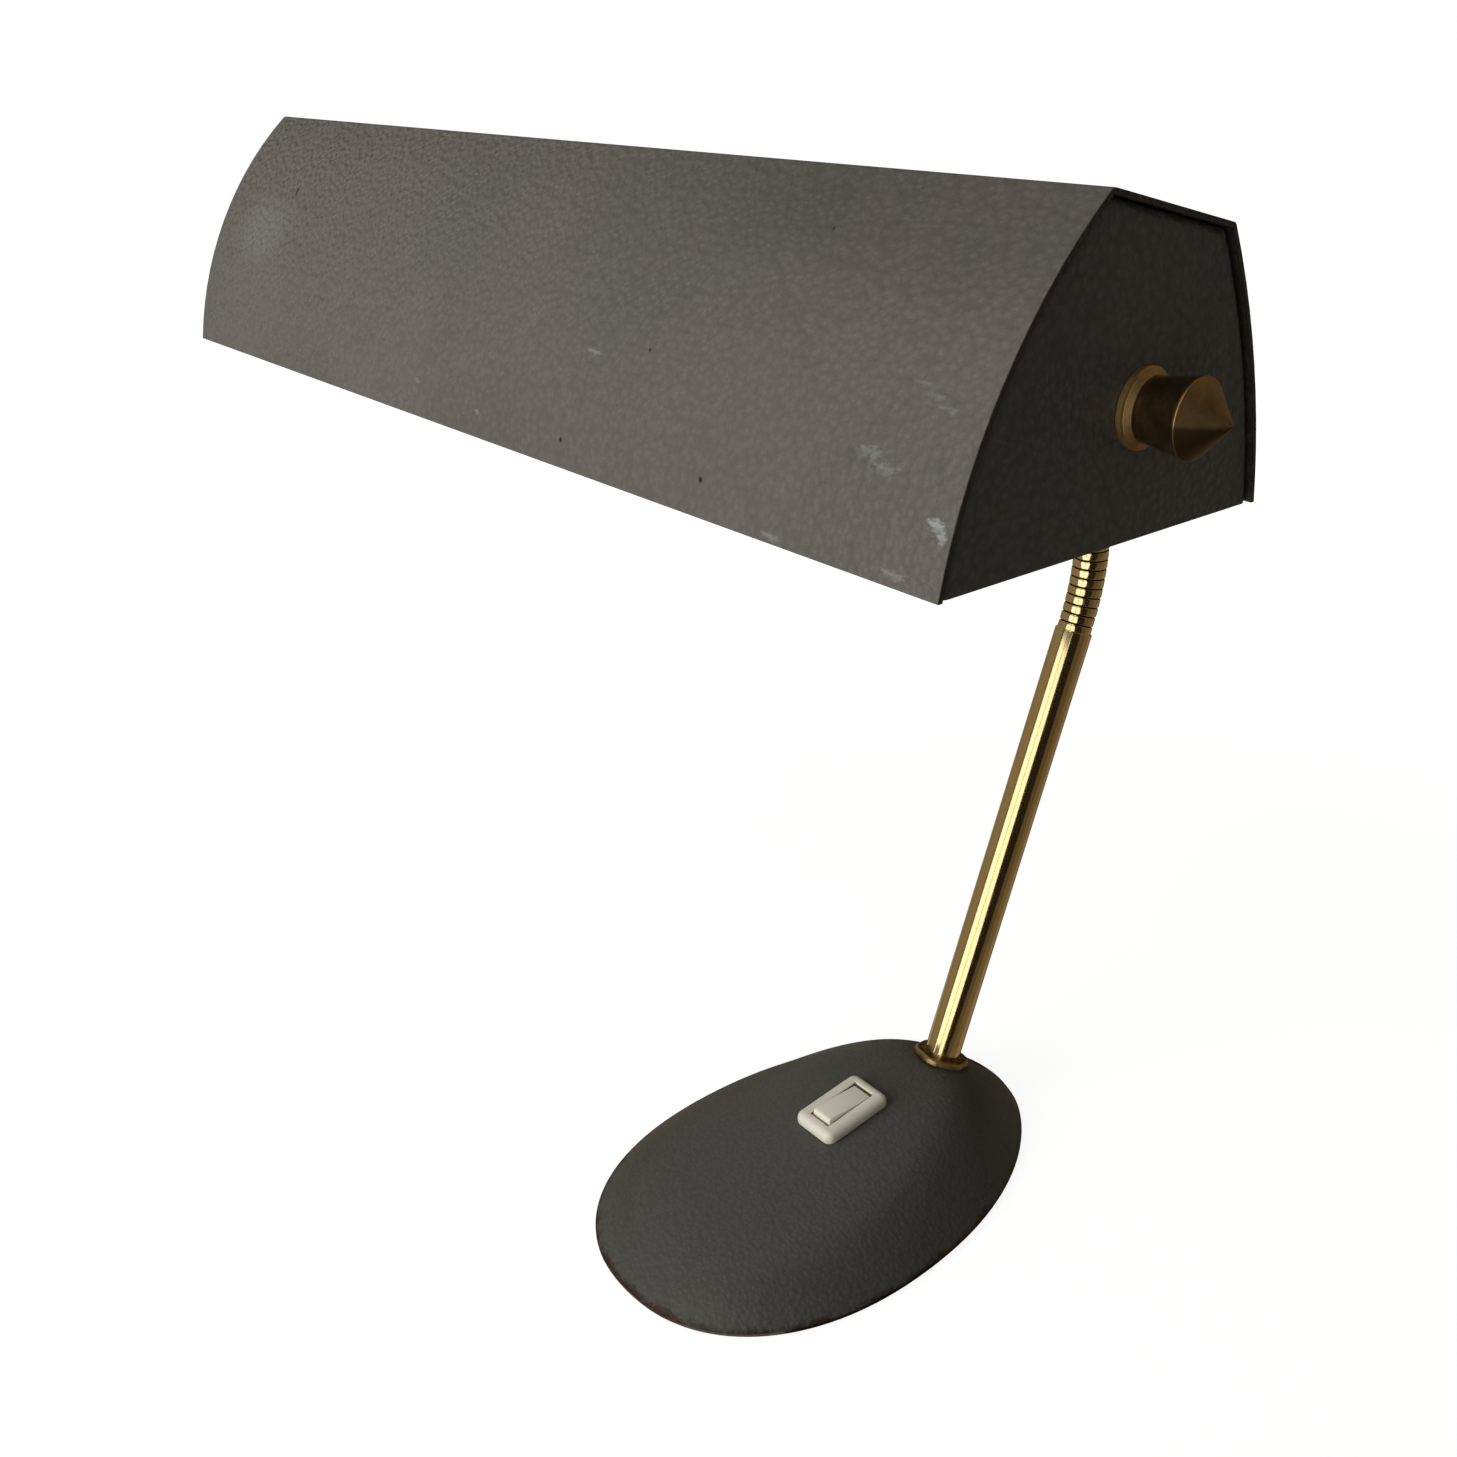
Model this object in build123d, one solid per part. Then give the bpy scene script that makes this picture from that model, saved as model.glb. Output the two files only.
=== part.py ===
from build123d import *
from math import copysign, cos, hypot, pi, radians, sin
import os

# Desk lamp: a long bent-sheet shade carried by a brass gooseneck on a leaning tube and a weighted base.
# Millimetres, +Z up, -Y towards the user. The origin is on the table, under the middle of the base.

# Easy fit round screws and washers, and tight fit of pressed pieces
easy_fit = 0.1
tight_fit = 0.02

# Base: egg-shaped outline, upright rim, sloping flank and a crowned top
base_half_width = 57.9
base_half_length = 89.4
base_egg = -0.077
base_power_front = 2.2
base_power_back = 2.07
base_outline_points = 24
base_rim_bottom = 0.6
base_rim_top = 2.0
base_flank_slope = 0.85
base_blend = 7.0
base_wall = 2.0
base_drop = 2.5
base_cross_radius = 160.0
base_crown_length = 90.0
base_crown = (21.7, 9.9, -1.8, -8.1, -14.2)
base_sections = 16
base_section_steps = 12
base_section_margin = 14.0
felt_thickness = 1.5
felt_inset = 7.2
plate_thickness = 1.5
plate_inset = 5.4
weight_inset = 16.0
weight_top = 14.0
weight_gap = 1.2
screw_spots = [(0.0, -62.0), (-30.0, 34.0), (30.0, 34.0)]
screw_radius = 1.5
screw_head_radius = 3.0
screw_length = 5.5
grommet_height = 7.4
grommet_radius = 3.6
grommet_bore = 2.4
grommet_length = 15.0
grommet_chamfer = 0.4
grommet_start = 76.0
grommet_proud = 0.8

# Rocker switch, let into the crown on its own slope
switch_y = 8.8
switch_z = 22.3
switch_slope = 6.0
bezel_length = 31.0
bezel_width = 18.8
bezel_height = 4.2
bezel_corner = 3.2
bezel_edge = 2.6
window_length = 21.6
window_width = 11.2
rocker_gap = 0.35
rocker_pivot_height = 1.5
rocker_pin_radius = 1.2
rocker_pin_reach = 1.6
rocker_rest = 8.0
rocker_depth = 3.2
rocker_crest = 4.2
switch_body_depth = 10.5
switch_body_wall = 1.4
terminal_size = (4.8, 0.8, 3.4)
terminal_spacing = 8.0

# Brass tube, leaning back from its foot on the base
riser_lean = 18.8
riser_foot = (61.98, 22.9)
riser_length = 169.57
riser_radius = 6.7
riser_bore = 6.2
riser_lip = 0.4
nipple_radius = 5.0
nipple_bore = 3.5
nipple_plug = 12.0
nipple_reach = 8.0
washer_radius = 11.6
washer_thickness = 2.0
washer_edge = 1.2
washer_bevel = 1.5
washer_turn = 45.0
lock_washer_radius = 8.5
head_washer_radius = 8.0
head_washer_thickness = 1.0
lock_washer_thickness = 1.2
nut_flats = 14.0
nut_thickness = 4.0
seat_radius = 12.2
boss_radius = 10.5
boss_depth = 5.0

# Gooseneck: ribbed brass hose along straight runs and arcs in the middle plane
hose_crest = 6.1
hose_root = 5.55
hose_bore = 4.0
rib_pitch = 3.1
rib_shape = [(0.06, 0.0), (0.22, 1.0), (0.84, 1.0), (1.0, 0.0)]
hose_socket = 8.0
hose_stub = 4.0
hose_lower_radius = 75.0
hose_middle_angle = 40.0
hose_middle_run = 24.0
hose_end_y = -23.0
ferrule_radius = 7.6
ferrule_length = 15.0
ferrule_lip = 0.8

# Shade: section corners in the YZ plane, read as front-bottom, front-top, back-top, back-bottom
shade_length = 300.0
shade_bottom = 294.0
front_bottom = (-126.9, shade_bottom)
front_top = (-92.3, 354.9)
back_top = (-56.9, 347.2)
back_bottom = (-36.9, shade_bottom)
front_bulge = 6.2
back_bulge = 2.8
sheet = 1.0
crease_radius = 1.3
slot_half_height = 18.0
slot_drop = 2.0
slot_width = 11.6
panel_inset = 0.7
panel_flange = 7.0
panel_gap = 0.06
panel_bend = 2.2

# Pivot line of the shade, with its studs, washers and knobs
pivot_y = -77.2
pivot_z = 318.2
stud_radius = 3.0
pivot_fit = 0.05
collar_radius = 7.3
collar_thickness = 2.4
knob_neck_radius = 5.75
knob_rim_radius = 7.2
knob_body = 8.9
knob_cone = 6.8
knob_gap = 0.1
stud_reach = 8.0
friction_radius = 8.0
friction_edge = 0.8
friction_dish = 2.0

# Strap bracket with lampholders and bulbs
strap_thickness = 1.5
strap_height = 16.0
strap_y = -56.0
strap_half_length = 146.0
tab_x = 11.0
tab_hole = 3.6
bolt_spacing = 10.8
bolt_radius = 1.2
bolt_length = 6.0
bolt_head = 1.1
bolt_head_radius = 2.0
holder_length = 40.0
holder_rear_radius = 11.0
holder_skirt_radius = 13.0
holder_step = 14.0
holder_bore = 7.2
holder_bore_depth = 22.0
cap_radius = 6.9
cap_length = 21.0
glass_radius = 12.5
glass_length = 74.0
glass_wall = 0.8
lead_radius = 1.3
lead_offset = 1.8
lead_bend = 6.0
lead_entry = 2.5
lead_depth = 6.0


def revolved_x(points, start, side):
    """A solid of revolution about the pivot line: points are (distance out from start, radius)."""
    face = make_face(Polyline(*points, close=True))
    body = revolve(face, axis=Axis.X)
    if side < 0:
        body = mirror(body, about=Plane.YZ)
    return Pos(side * start, pivot_y, pivot_z) * body


def round_x(radius, start, end, side=1):
    """A plain round bar on the pivot line from start to end, counted outwards."""
    return revolved_x([(0, 0), (end - start, 0), (end - start, radius), (0, radius)], start, side)


# Base

def egg_wire(inset, height):
    """The base's outline, drawn in by inset, at a height."""
    points = []
    for i in range(base_outline_points):
        angle = 2 * pi * i / base_outline_points
        power = base_power_back if sin(angle) > 0 else base_power_front
        across = copysign(abs(cos(angle)) ** (2 / power), cos(angle))
        along = copysign(abs(sin(angle)) ** (2 / power), sin(angle))
        x = (base_half_width - inset) * across * (1 + base_egg * along)
        points.append((x, (base_half_length - inset) * along, height))
    return Wire(Spline(*points, periodic=True).edges())


def egg_slab(inset, bottom, top):
    return extrude(Face(egg_wire(inset, bottom)), amount=top - bottom, dir=(0, 0, 1))


def outline_half(y):
    """Half the outline's width at a distance along the base."""
    along = max(min(y / base_half_length, 1.0), -1.0)
    power = base_power_back if y > 0 else base_power_front
    return base_half_width * (1 + base_egg * along) * (1 - abs(along) ** power) ** (1 / power)


def top_height(x, y):
    """Height of the base's top, where the flank's slope runs over into the crown."""
    along = y / base_half_length
    power = base_power_back if y > 0 else base_power_front
    half = base_half_width * (1 + base_egg * along)
    ring = ((abs(x) / half) ** power + abs(along) ** power) ** (1 / power)
    inset = hypot(x, y) * (1 / ring - 1) if ring > 0.05 else base_half_width
    flank = base_rim_top + base_flank_slope * inset
    crown = sum(c * (y / base_crown_length) ** i for i, c in enumerate(base_crown))
    crown -= x * x / (2 * base_cross_radius)
    share = min(max(0.5 + 0.5 * (flank - crown) / base_blend, 0.0), 1.0)
    return flank * (1 - share) + crown * share - base_blend * share * (1 - share)


def top_form(drop):
    """Loft along the base, wider than its outline, whose upper side is the top lowered by drop."""
    sections = []
    for j in range(base_sections + 1):
        y = -(base_half_length + 2) * cos(pi * j / base_sections)
        wide = outline_half(y) + base_section_margin
        xs = [wide * (2 * i / base_section_steps - 1) for i in range(base_section_steps + 1)]
        ridge = Spline(*[(x, y, top_height(x, y) - drop) for x in xs])
        rest = Polyline(ridge @ 1, (wide, y, -40), (-wide, y, -40), ridge @ 0)
        sections.append(Wire(ridge.edges() + rest.edges()))
    return Solid.make_loft(sections)


def base_dome(inset, bottom, drop):
    """The outline, drawn in by inset, up to the top surface lowered by drop."""
    return egg_slab(inset, bottom, 45) & top_form(drop)


def riser_place(distance):
    """A plane square to the tube, at a distance up its line from the foot."""
    direction = (0, sin(radians(riser_lean)), cos(radians(riser_lean)))
    origin = (0, riser_foot[0] + distance * direction[1], riser_foot[1] + distance * direction[2])
    return Plane(origin=origin, x_dir=(1, 0, 0), z_dir=direction)


def switch_place():
    tilt = radians(switch_slope)
    return Plane(origin=(0, switch_y, switch_z), x_dir=(1, 0, 0), z_dir=(0, -sin(tilt), cos(tilt)))


def rod(plane, radius, start, end):
    """A round bar on a plane's own normal, from start to end."""
    return plane * (Pos(0, 0, start) * extrude(Circle(radius), amount=end - start))


def base_shell():
    outer = base_dome(0.0, base_rim_bottom, 0.0)
    inner = base_dome(base_wall, base_rim_bottom - 1, base_drop)
    boss = rod(riser_place(0), boss_radius, -boss_depth - washer_thickness, 4) & outer
    shell = (outer - inner) + boss
    shell -= rod(riser_place(0), seat_radius, -washer_thickness, 20)
    shell -= rod(riser_place(0), nipple_radius + easy_fit, -20, 20)
    under_boss = rod(riser_place(0), lock_washer_radius + 1, -20, -boss_depth - washer_thickness)
    shell -= under_boss
    flat = RectangleRounded(bezel_width + 0.4, bezel_length + 0.4, bezel_corner)
    shell -= switch_place() * extrude(flat, amount=20)
    opening = Rectangle(window_width + 2 * switch_body_wall + 0.4, window_length + 2 * switch_body_wall + 0.4)
    shell -= switch_place() * extrude(opening, amount=8, both=True)
    shell -= Pos(0, base_half_length, grommet_height) * (Rot(90, 0, 0) * Cylinder(grommet_radius + tight_fit, 30))
    return shell


def base_weight():
    slug = egg_slab(weight_inset, felt_thickness + plate_thickness, weight_top)
    slug &= base_dome(base_wall + weight_gap, 0, base_drop + weight_gap)
    well = Rectangle(window_width + 2 * switch_body_wall + 5, window_length + 2 * switch_body_wall + 5)
    slug -= switch_place() * extrude(well, amount=40, both=True)
    slug -= rod(riser_place(0), nut_flats, -40, 10)
    for x, y in screw_spots:
        slug -= Pos(x, y, 0) * Cylinder(screw_radius + easy_fit, 40)
    return slug


def countersunk(gap):
    """Countersunk screw standing on its head, grown by gap for its hole."""
    shank = screw_radius + gap
    head = screw_head_radius + gap
    outline = Polyline(
        (0, 0), (head, 0), (shank, head - shank), (shank, screw_length), (0, screw_length), close=True)
    return revolve(Plane.XZ * make_face(outline), axis=Axis.Z)


def base_plate():
    plate = egg_slab(plate_inset, felt_thickness, felt_thickness + plate_thickness)
    for x, y in screw_spots:
        plate -= Pos(x, y, felt_thickness) * countersunk(easy_fit)
    return plate


def base_plate_screws():
    return Compound(children=[Pos(x, y, felt_thickness) * countersunk(0) for x, y in screw_spots])


def felt_pad():
    return egg_slab(felt_inset, 0, felt_thickness)


def cord_grommet():
    """Bush for the lead, cut to the flank's own slope outside."""
    bush = Cylinder(grommet_radius, grommet_length) - Cylinder(grommet_bore, grommet_length + 2)
    inner = bush.faces().sort_by(Axis.Z)[-1]
    bush = chamfer(inner.edges(), grommet_chamfer)
    bush = Pos(0, grommet_start + grommet_length / 2, grommet_height) * (Rot(90, 0, 0) * bush)
    return bush & top_form(-grommet_proud)


# Switch

def switch_bezel():
    block = extrude(RectangleRounded(bezel_width, bezel_length, bezel_corner), amount=bezel_height)
    block = fillet(block.faces().sort_by(Axis.Z)[-1].edges(), bezel_edge)
    block -= extrude(Rectangle(window_width, window_length), amount=20, both=True)
    pin = Pos(0, 0, rocker_pivot_height) * (Rot(0, 90, 0) * Cylinder(rocker_pin_radius + 0.05, 2 * pin_half()))
    return switch_place() * (block - pin)


def pin_half():
    return window_width / 2 + rocker_pin_reach


def switch_rocker():
    """Tilted rocker: its ends are arcs about the pivot, so it clears the window as it swings."""
    reach = window_length / 2 - rocker_gap
    top = rocker_crest - rocker_pivot_height
    bottom = -rocker_depth
    blank = extrude(Plane.YZ * Circle(reach), amount=window_width / 2 - rocker_gap, both=True)
    keep = Pos(0, 0, (top + bottom) / 2) * Box(window_width, 2 * reach, top - bottom)
    blank &= keep
    crest = [e for e in blank.edges() if e.center().Z > top - 0.01]
    blank = fillet(crest, 0.7)
    pin = Rot(0, 90, 0) * Cylinder(rocker_pin_radius, 2 * pin_half() - 0.4)
    rocker = Rot(-rocker_rest, 0, 0) * (blank + pin)
    return switch_place() * (Pos(0, 0, rocker_pivot_height) * rocker)


def switch_body():
    wide = window_width + 2 * switch_body_wall
    long = window_length + 2 * switch_body_wall
    block = Pos(0, 0, -switch_body_depth / 2) * Box(wide, long, switch_body_depth)
    room = Pos(0, 0, -switch_body_depth / 2 + switch_body_wall + 1.5) * Box(
        window_width, window_length, switch_body_depth)
    return switch_place() * (block - room)


def switch_terminals():
    tabs = []
    across, thick, high = terminal_size
    for side in (-1, 1):
        tab = Box(across, thick, high)
        low = -switch_body_depth - high / 2
        tabs.append(switch_place() * (Pos(0, side * terminal_spacing / 2, low) * tab))
    return Compound(children=tabs)


# Stem

def riser_tube():
    tube = rod(riser_place(0), riser_radius, 0, riser_length)
    tube = fillet(tube.edges().sort_by(Axis.Z)[-1], riser_lip)
    return tube - rod(riser_place(0), riser_bore, -1, riser_length + 1)


def riser_nipple():
    plug = rod(riser_place(0), riser_bore - tight_fit, 0, nipple_plug)
    stem = rod(riser_place(0), nipple_radius, -washer_thickness - boss_depth - nipple_reach, 0)
    return plug + stem - rod(riser_place(0), nipple_bore, -40, nipple_plug + 1)


def foot_washer():
    """Thin six-sided washer under the tube, bevelled towards its top face."""
    outline = Polyline(
        (nipple_radius + easy_fit, -washer_thickness), (washer_radius, -washer_thickness),
        (washer_radius, -washer_thickness + washer_edge), (washer_radius - washer_bevel, 0),
        (nipple_radius + easy_fit, 0), close=True)
    ring = revolve(Plane.XZ * make_face(outline), axis=Axis.Z)
    flats = RegularPolygon(washer_radius, 6, rotation=washer_turn)
    return riser_place(0) * (ring & extrude(flats, amount=-washer_thickness))


def lock_washer():
    top = -washer_thickness - boss_depth
    ring = rod(riser_place(0), lock_washer_radius, top - lock_washer_thickness, top)
    return ring - rod(riser_place(0), nipple_radius + easy_fit, -40, 10)


def hex_nut(plane, flats, start, thickness, bore):
    body = extrude(RegularPolygon(flats / 2, 6, major_radius=False), amount=thickness)
    body = plane * (Pos(0, 0, start) * body)
    return body - rod(plane, bore, start - 1, start + thickness + 1)


def riser_nut():
    top = -washer_thickness - boss_depth - lock_washer_thickness
    return hex_nut(riser_place(0), nut_flats, top - nut_thickness, nut_thickness, nipple_radius + tight_fit)


# Gooseneck route in the middle plane: lean is counted forwards from upright

def hose_runs():
    """The hose's line as (kind, length, radius) steps, from inside the tube to inside the ferrule."""
    start = riser_place(riser_length - hose_socket)
    y0, z0 = start.origin.Y, start.origin.Z
    lean0 = -radians(riser_lean)
    lean1 = radians(hose_middle_angle)
    lean2 = radians(90.0)
    straight = hose_socket + hose_stub
    rise = pivot_z - z0 - straight * cos(lean0) - hose_middle_run * cos(lean1)
    rise -= hose_lower_radius * (sin(lean1) - sin(lean0))
    upper_radius = rise / (sin(lean2) - sin(lean1))
    y_end = y0 - straight * sin(lean0) - hose_lower_radius * (cos(lean0) - cos(lean1))
    y_end -= hose_middle_run * sin(lean1) + upper_radius * (cos(lean1) - cos(lean2))
    half = hose_middle_run / 2
    lower = [(straight, 0), ((lean1 - lean0) * hose_lower_radius, hose_lower_radius), (half, 0)]
    upper = [(half, 0), ((lean2 - lean1) * upper_radius, upper_radius)]
    upper.append((y_end - hose_end_y, 0))
    return (y0, z0, lean0), lower, upper, upper_radius


def hose_point(start, runs, distance):
    """Place and lean of the hose's line at a distance along its runs."""
    y, z, lean = start
    left = distance
    for length, radius in runs:
        step = min(left, length)
        if radius:
            turn = step / radius
            y -= radius * (cos(lean) - cos(lean + turn))
            z += radius * (sin(lean + turn) - sin(lean))
            lean += turn
        else:
            y -= step * sin(lean)
            z += step * cos(lean)
        left -= step
        if left <= 0:
            break
    return y, z, lean


def hose_plane(start, runs, distance):
    y, z, lean = hose_point(start, runs, distance)
    return Plane(origin=(0, y, z), x_dir=(1, 0, 0), z_dir=(0, -sin(lean), cos(lean)))


def ribbed_hose(start, runs):
    """Ribs as a ruled loft through four circles each, with a smooth bore."""
    length = sum(run[0] for run in runs)
    ribs = round(length / rib_pitch)
    pitch = length / ribs
    rings = [Edge.make_circle(hose_root, hose_plane(start, runs, 0))]
    for rib in range(ribs):
        for along, high in rib_shape:
            plane = hose_plane(start, runs, (rib + along) * pitch)
            rings.append(Edge.make_circle(hose_root + high * (hose_crest - hose_root), plane))
    outside = Solid.make_loft([Wire([ring]) for ring in rings], ruled=True)
    path = []
    done = 0.0
    for run, radius in runs:
        first, middle, last = [hose_point(start, runs, done + share * run) for share in (0.0, 0.5, 1.0)]
        ends = [(0, p[0], p[1]) for p in (first, middle, last)]
        if radius:
            path.append(ThreePointArc(*ends))
        else:
            path.append(Line(ends[0], ends[2]))
        done += run
    bore = sweep(hose_plane(start, runs, 0) * Circle(hose_bore), path=Wire([p.edge() for p in path]))
    return outside - bore


def gooseneck_parts():
    start, lower, upper, upper_radius = hose_runs()
    middle = hose_point(start, lower, sum(run[0] for run in lower))
    lower_mid = hose_point(start, lower, lower[0][0] + lower[1][0] / 2)
    upper_mid = hose_point(middle, upper, upper[0][0] + upper[1][0] / 2)
    print("gooseneck radii", hose_lower_radius, round(upper_radius, 1))
    print("lower bend centre y z", round(lower_mid[0], 2), round(lower_mid[1], 2))
    print("upper bend centre y z", round(upper_mid[0], 2), round(upper_mid[1], 2))
    return ribbed_hose(start, lower), ribbed_hose(middle, upper)


def head_place():
    """Plane at the end of the hose, its normal pointing forwards into the shade."""
    return Plane(origin=(0, hose_end_y, pivot_z), x_dir=(1, 0, 0), z_dir=(0, -1, 0))


def gooseneck_ferrule():
    body = rod(head_place(), ferrule_radius, -hose_socket, ferrule_length - hose_socket)
    body = fillet(body.edges().filter_by(GeomType.CIRCLE), ferrule_lip)
    body -= rod(head_place(), hose_crest + easy_fit, -hose_socket - 1, 0)
    inside = strap_y + strap_thickness / 2
    stem = rod(head_place(), nipple_radius, 0, hose_end_y - inside + 10)
    return body + stem - rod(head_place(), nipple_bore, -1, 60)


def strap_front():
    """Distance along the head's line to the strap's front face."""
    return hose_end_y - (strap_y - strap_thickness / 2)


def head_washer():
    ring = rod(head_place(), head_washer_radius, strap_front(), strap_front() + head_washer_thickness)
    return ring - rod(head_place(), nipple_radius + easy_fit, 0, 60)


def head_nut():
    start = strap_front() + head_washer_thickness
    return hex_nut(head_place(), nut_flats, start, nut_thickness, nipple_radius + tight_fit)


# Shade

def shade_section(inset, foot=0.0):
    """YZ section of the shade, drawn in by inset, with its open bottom carried down by foot."""
    def bulged(a, b, bulge):
        my, mz = (a[0] + b[0]) / 2, (a[1] + b[1]) / 2
        dy, dz = b[0] - a[0], b[1] - a[1]
        size = hypot(dy, dz)
        return ThreePointArc(a, (my - bulge * dz / size, mz + bulge * dy / size), b)

    front = bulged(front_bottom, front_top, front_bulge)
    back = bulged(back_top, back_bottom, back_bulge)
    outline = front + Line(front_top, back_top) + back
    low_front, low_back = front @ 0 - (front % 0) * foot, back @ 1 + (back % 1) * foot
    if foot:
        outline += Line(low_front, front @ 0) + Line(back @ 1, low_back)
    face = make_face(outline + Line(low_back, low_front))
    if inset:
        face = offset(face, amount=-inset, kind=Kind.INTERSECTION)
    creases = face.vertices().sort_by(Axis.Y)[-2:]
    return fillet(creases, max(crease_radius - inset, 0.2))


def along_x(face, start, end):
    return Pos(start, 0, 0) * extrude(Plane.YZ * face, amount=end - start)


def shade_sheet():
    half = shade_length / 2
    room = along_x(shade_section(sheet, 6.0), -half - 1, half + 1)
    trough = along_x(shade_section(0), -half, half) - room
    slot = Plane.XZ * SlotOverall(2 * slot_half_height, slot_width, rotation=90)
    return trough - Pos(0, back_bottom[0], pivot_z - slot_drop) * extrude(slot, amount=24, both=True)


def bent_block(inset, start, end, bend):
    """The inside of the trough from start to end, with its end face bent over on three sides."""
    block = along_x(shade_section(inset, 6.0), start, end)
    face = block.faces().sort_by(Axis.X)[-1]
    return fillet(face.edges().sort_by(Axis.Z)[1:], bend)


def end_panel(side):
    """Pressed end: a plate set in from the sheet's edge, with a flange bent inwards on three sides."""
    outer = shade_length / 2 - panel_inset
    inner = outer - sheet
    panel = bent_block(sheet + panel_gap, inner - panel_flange, outer, panel_bend)
    panel -= bent_block(2 * sheet + panel_gap, inner - panel_flange - 1, inner, panel_bend - sheet)
    panel -= Pos(outer, pivot_y, shade_bottom - 50) * Box(100, 200, 100)
    panel -= round_x(stud_radius + pivot_fit, inner - 1, outer + 1)
    return panel if side > 0 else mirror(panel, about=Plane.YZ)


# Pivots

def collar_seat():
    """Distance out to the face of the end panel, where the collar sits."""
    return shade_length / 2 - panel_inset


def knob_collar(side):
    bevel = collar_thickness / 2
    ring = revolved_x(
        [(0, stud_radius + pivot_fit), (0, collar_radius), (bevel, collar_radius),
         (collar_thickness, collar_radius - bevel), (collar_thickness, stud_radius + pivot_fit)],
        collar_seat(), side)
    return ring


def knob(side):
    start = collar_seat() + collar_thickness + knob_gap
    hole = stud_radius + pivot_fit
    depth = stud_reach + pivot_fit
    return revolved_x(
        [(0, hole), (0, knob_neck_radius), (knob_body, knob_rim_radius), (knob_body + knob_cone, 0),
         (depth, 0), (depth, hole)],
        start, side)


def pivot_stud(side):
    ear = strap_half_length - strap_thickness
    end = collar_seat() + collar_thickness + knob_gap + stud_reach
    head = 2.0
    return revolved_x(
        [(-head, 0), (-head, stud_radius + 2), (0, stud_radius + 2), (0, stud_radius),
         (end - ear, stud_radius), (end - ear, 0)],
        ear, side)


def friction_washer(side):
    start = strap_half_length
    room = shade_length / 2 - panel_inset - sheet - start
    thickness = room - easy_fit
    hole = stud_radius + easy_fit
    return revolved_x(
        [(0, hole), (0, friction_radius), (friction_edge, friction_radius),
         (thickness, friction_radius - friction_dish), (thickness, hole)],
        start, side)


# Bracket, lampholders and bulbs

def lamp_bracket():
    half = strap_half_length
    strap = Pos(0, strap_y, pivot_z) * Box(2 * half, strap_thickness, strap_height)
    strap -= rod(head_place(), nipple_radius + easy_fit, 0, 60)
    reach = strap_y - pivot_y
    arm = Pos(reach / 2, 0) * Rectangle(reach, strap_height) + Circle(strap_height / 2)
    for side in (-1, 1):
        ear = side * (half - strap_thickness / 2)
        for place, hole in ((ear, stud_radius + tight_fit), (side * tab_x, tab_hole)):
            lug = Plane.YZ * arm
            lug = extrude(lug - Plane.YZ * Circle(hole), amount=strap_thickness / 2, both=True)
            strap += Pos(place, pivot_y, pivot_z) * lug
        strap -= holder_bolts(side, easy_fit)
    return strap


def holder_start():
    return tab_x + strap_thickness / 2


def holder_bolts(side, gap):
    """Two pan-head screws through the bracket's tab into a lampholder, grown by gap for their holes."""
    face = tab_x - strap_thickness / 2
    bolts = []
    for z in (-bolt_spacing / 2, bolt_spacing / 2):
        bolt = revolved_x(
            [(0, 0), (0, bolt_radius + gap), (bolt_length + gap, bolt_radius + gap), (bolt_length + gap, 0)],
            face, side)
        head = revolved_x(
            [(-bolt_head, 0), (-bolt_head, bolt_head_radius), (0, bolt_head_radius), (0, 0)], face, side)
        bolts.append(Pos(0, 0, z) * (bolt + head))
    return bolts


def lampholder(side):
    body = revolved_x(
        [(0, lead_entry), (0, holder_rear_radius), (holder_step, holder_rear_radius),
         (holder_step, holder_skirt_radius), (holder_length - 1.5, holder_skirt_radius),
         (holder_length, holder_skirt_radius - 1.5), (holder_length, holder_bore),
         (holder_length - holder_bore_depth, holder_bore), (holder_length - holder_bore_depth, 0),
         (lead_depth, 0), (lead_depth, lead_entry)],
        holder_start(), side)
    return body - holder_bolts(side, tight_fit)


def holder_screws():
    return Compound(children=holder_bolts(-1, 0) + holder_bolts(1, 0))


def cap_start():
    return holder_start() + holder_length - holder_bore_depth + 0.5


def bulb_cap(side):
    return revolved_x(
        [(0, 0), (0, 2.5), (2.5, 4.0), (3.5, cap_radius), (cap_length, cap_radius), (cap_length, 0)],
        cap_start(), side)


def bulb_glass(side):
    def outline(radius, neck, end):
        shoulder = 9.0
        line = Polyline((0, 0), (0, neck), (shoulder, radius), (end - radius, radius))
        dome = ThreePointArc(
            (end - radius, radius), (end - radius + radius * cos(pi / 4), radius * sin(pi / 4)), (end, 0))
        return make_face(line + dome + Line((end, 0), (0, 0)))

    bulb = revolve(outline(glass_radius, cap_radius - 0.3, glass_length), axis=Axis.X)
    hollow = revolve(outline(glass_radius - glass_wall, cap_radius - 1.6, glass_length - 2 * glass_wall), axis=Axis.X)
    bulb -= Pos(glass_wall, 0, 0) * hollow
    if side < 0:
        bulb = mirror(bulb, about=Plane.YZ)
    return Pos(side * (cap_start() + cap_length), pivot_y, pivot_z) * bulb


def holder_lead(side):
    """Insulated lead from the nipple's bore round to the back of a lampholder."""
    turn = pivot_y + lead_bend
    corner = lead_offset + lead_bend
    mid = lead_bend * (1 - sin(pi / 4))
    line = Line((lead_offset, strap_y - 3, 0), (lead_offset, turn, 0))
    bend = ThreePointArc(
        (lead_offset, turn, 0), (lead_offset + mid, pivot_y + mid, 0), (corner, pivot_y, 0))
    tail = Line((corner, pivot_y, 0), (holder_start() + lead_depth - 1, pivot_y, 0))
    path = Wire([line.edge(), bend.edge(), tail.edge()])
    section = Plane(origin=(lead_offset, strap_y - 3, 0), z_dir=(0, -1, 0)) * Circle(lead_radius)
    lead = sweep(section, path=path)
    if side < 0:
        lead = mirror(lead, about=Plane.YZ)
    return Pos(0, 0, pivot_z) * lead


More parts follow.
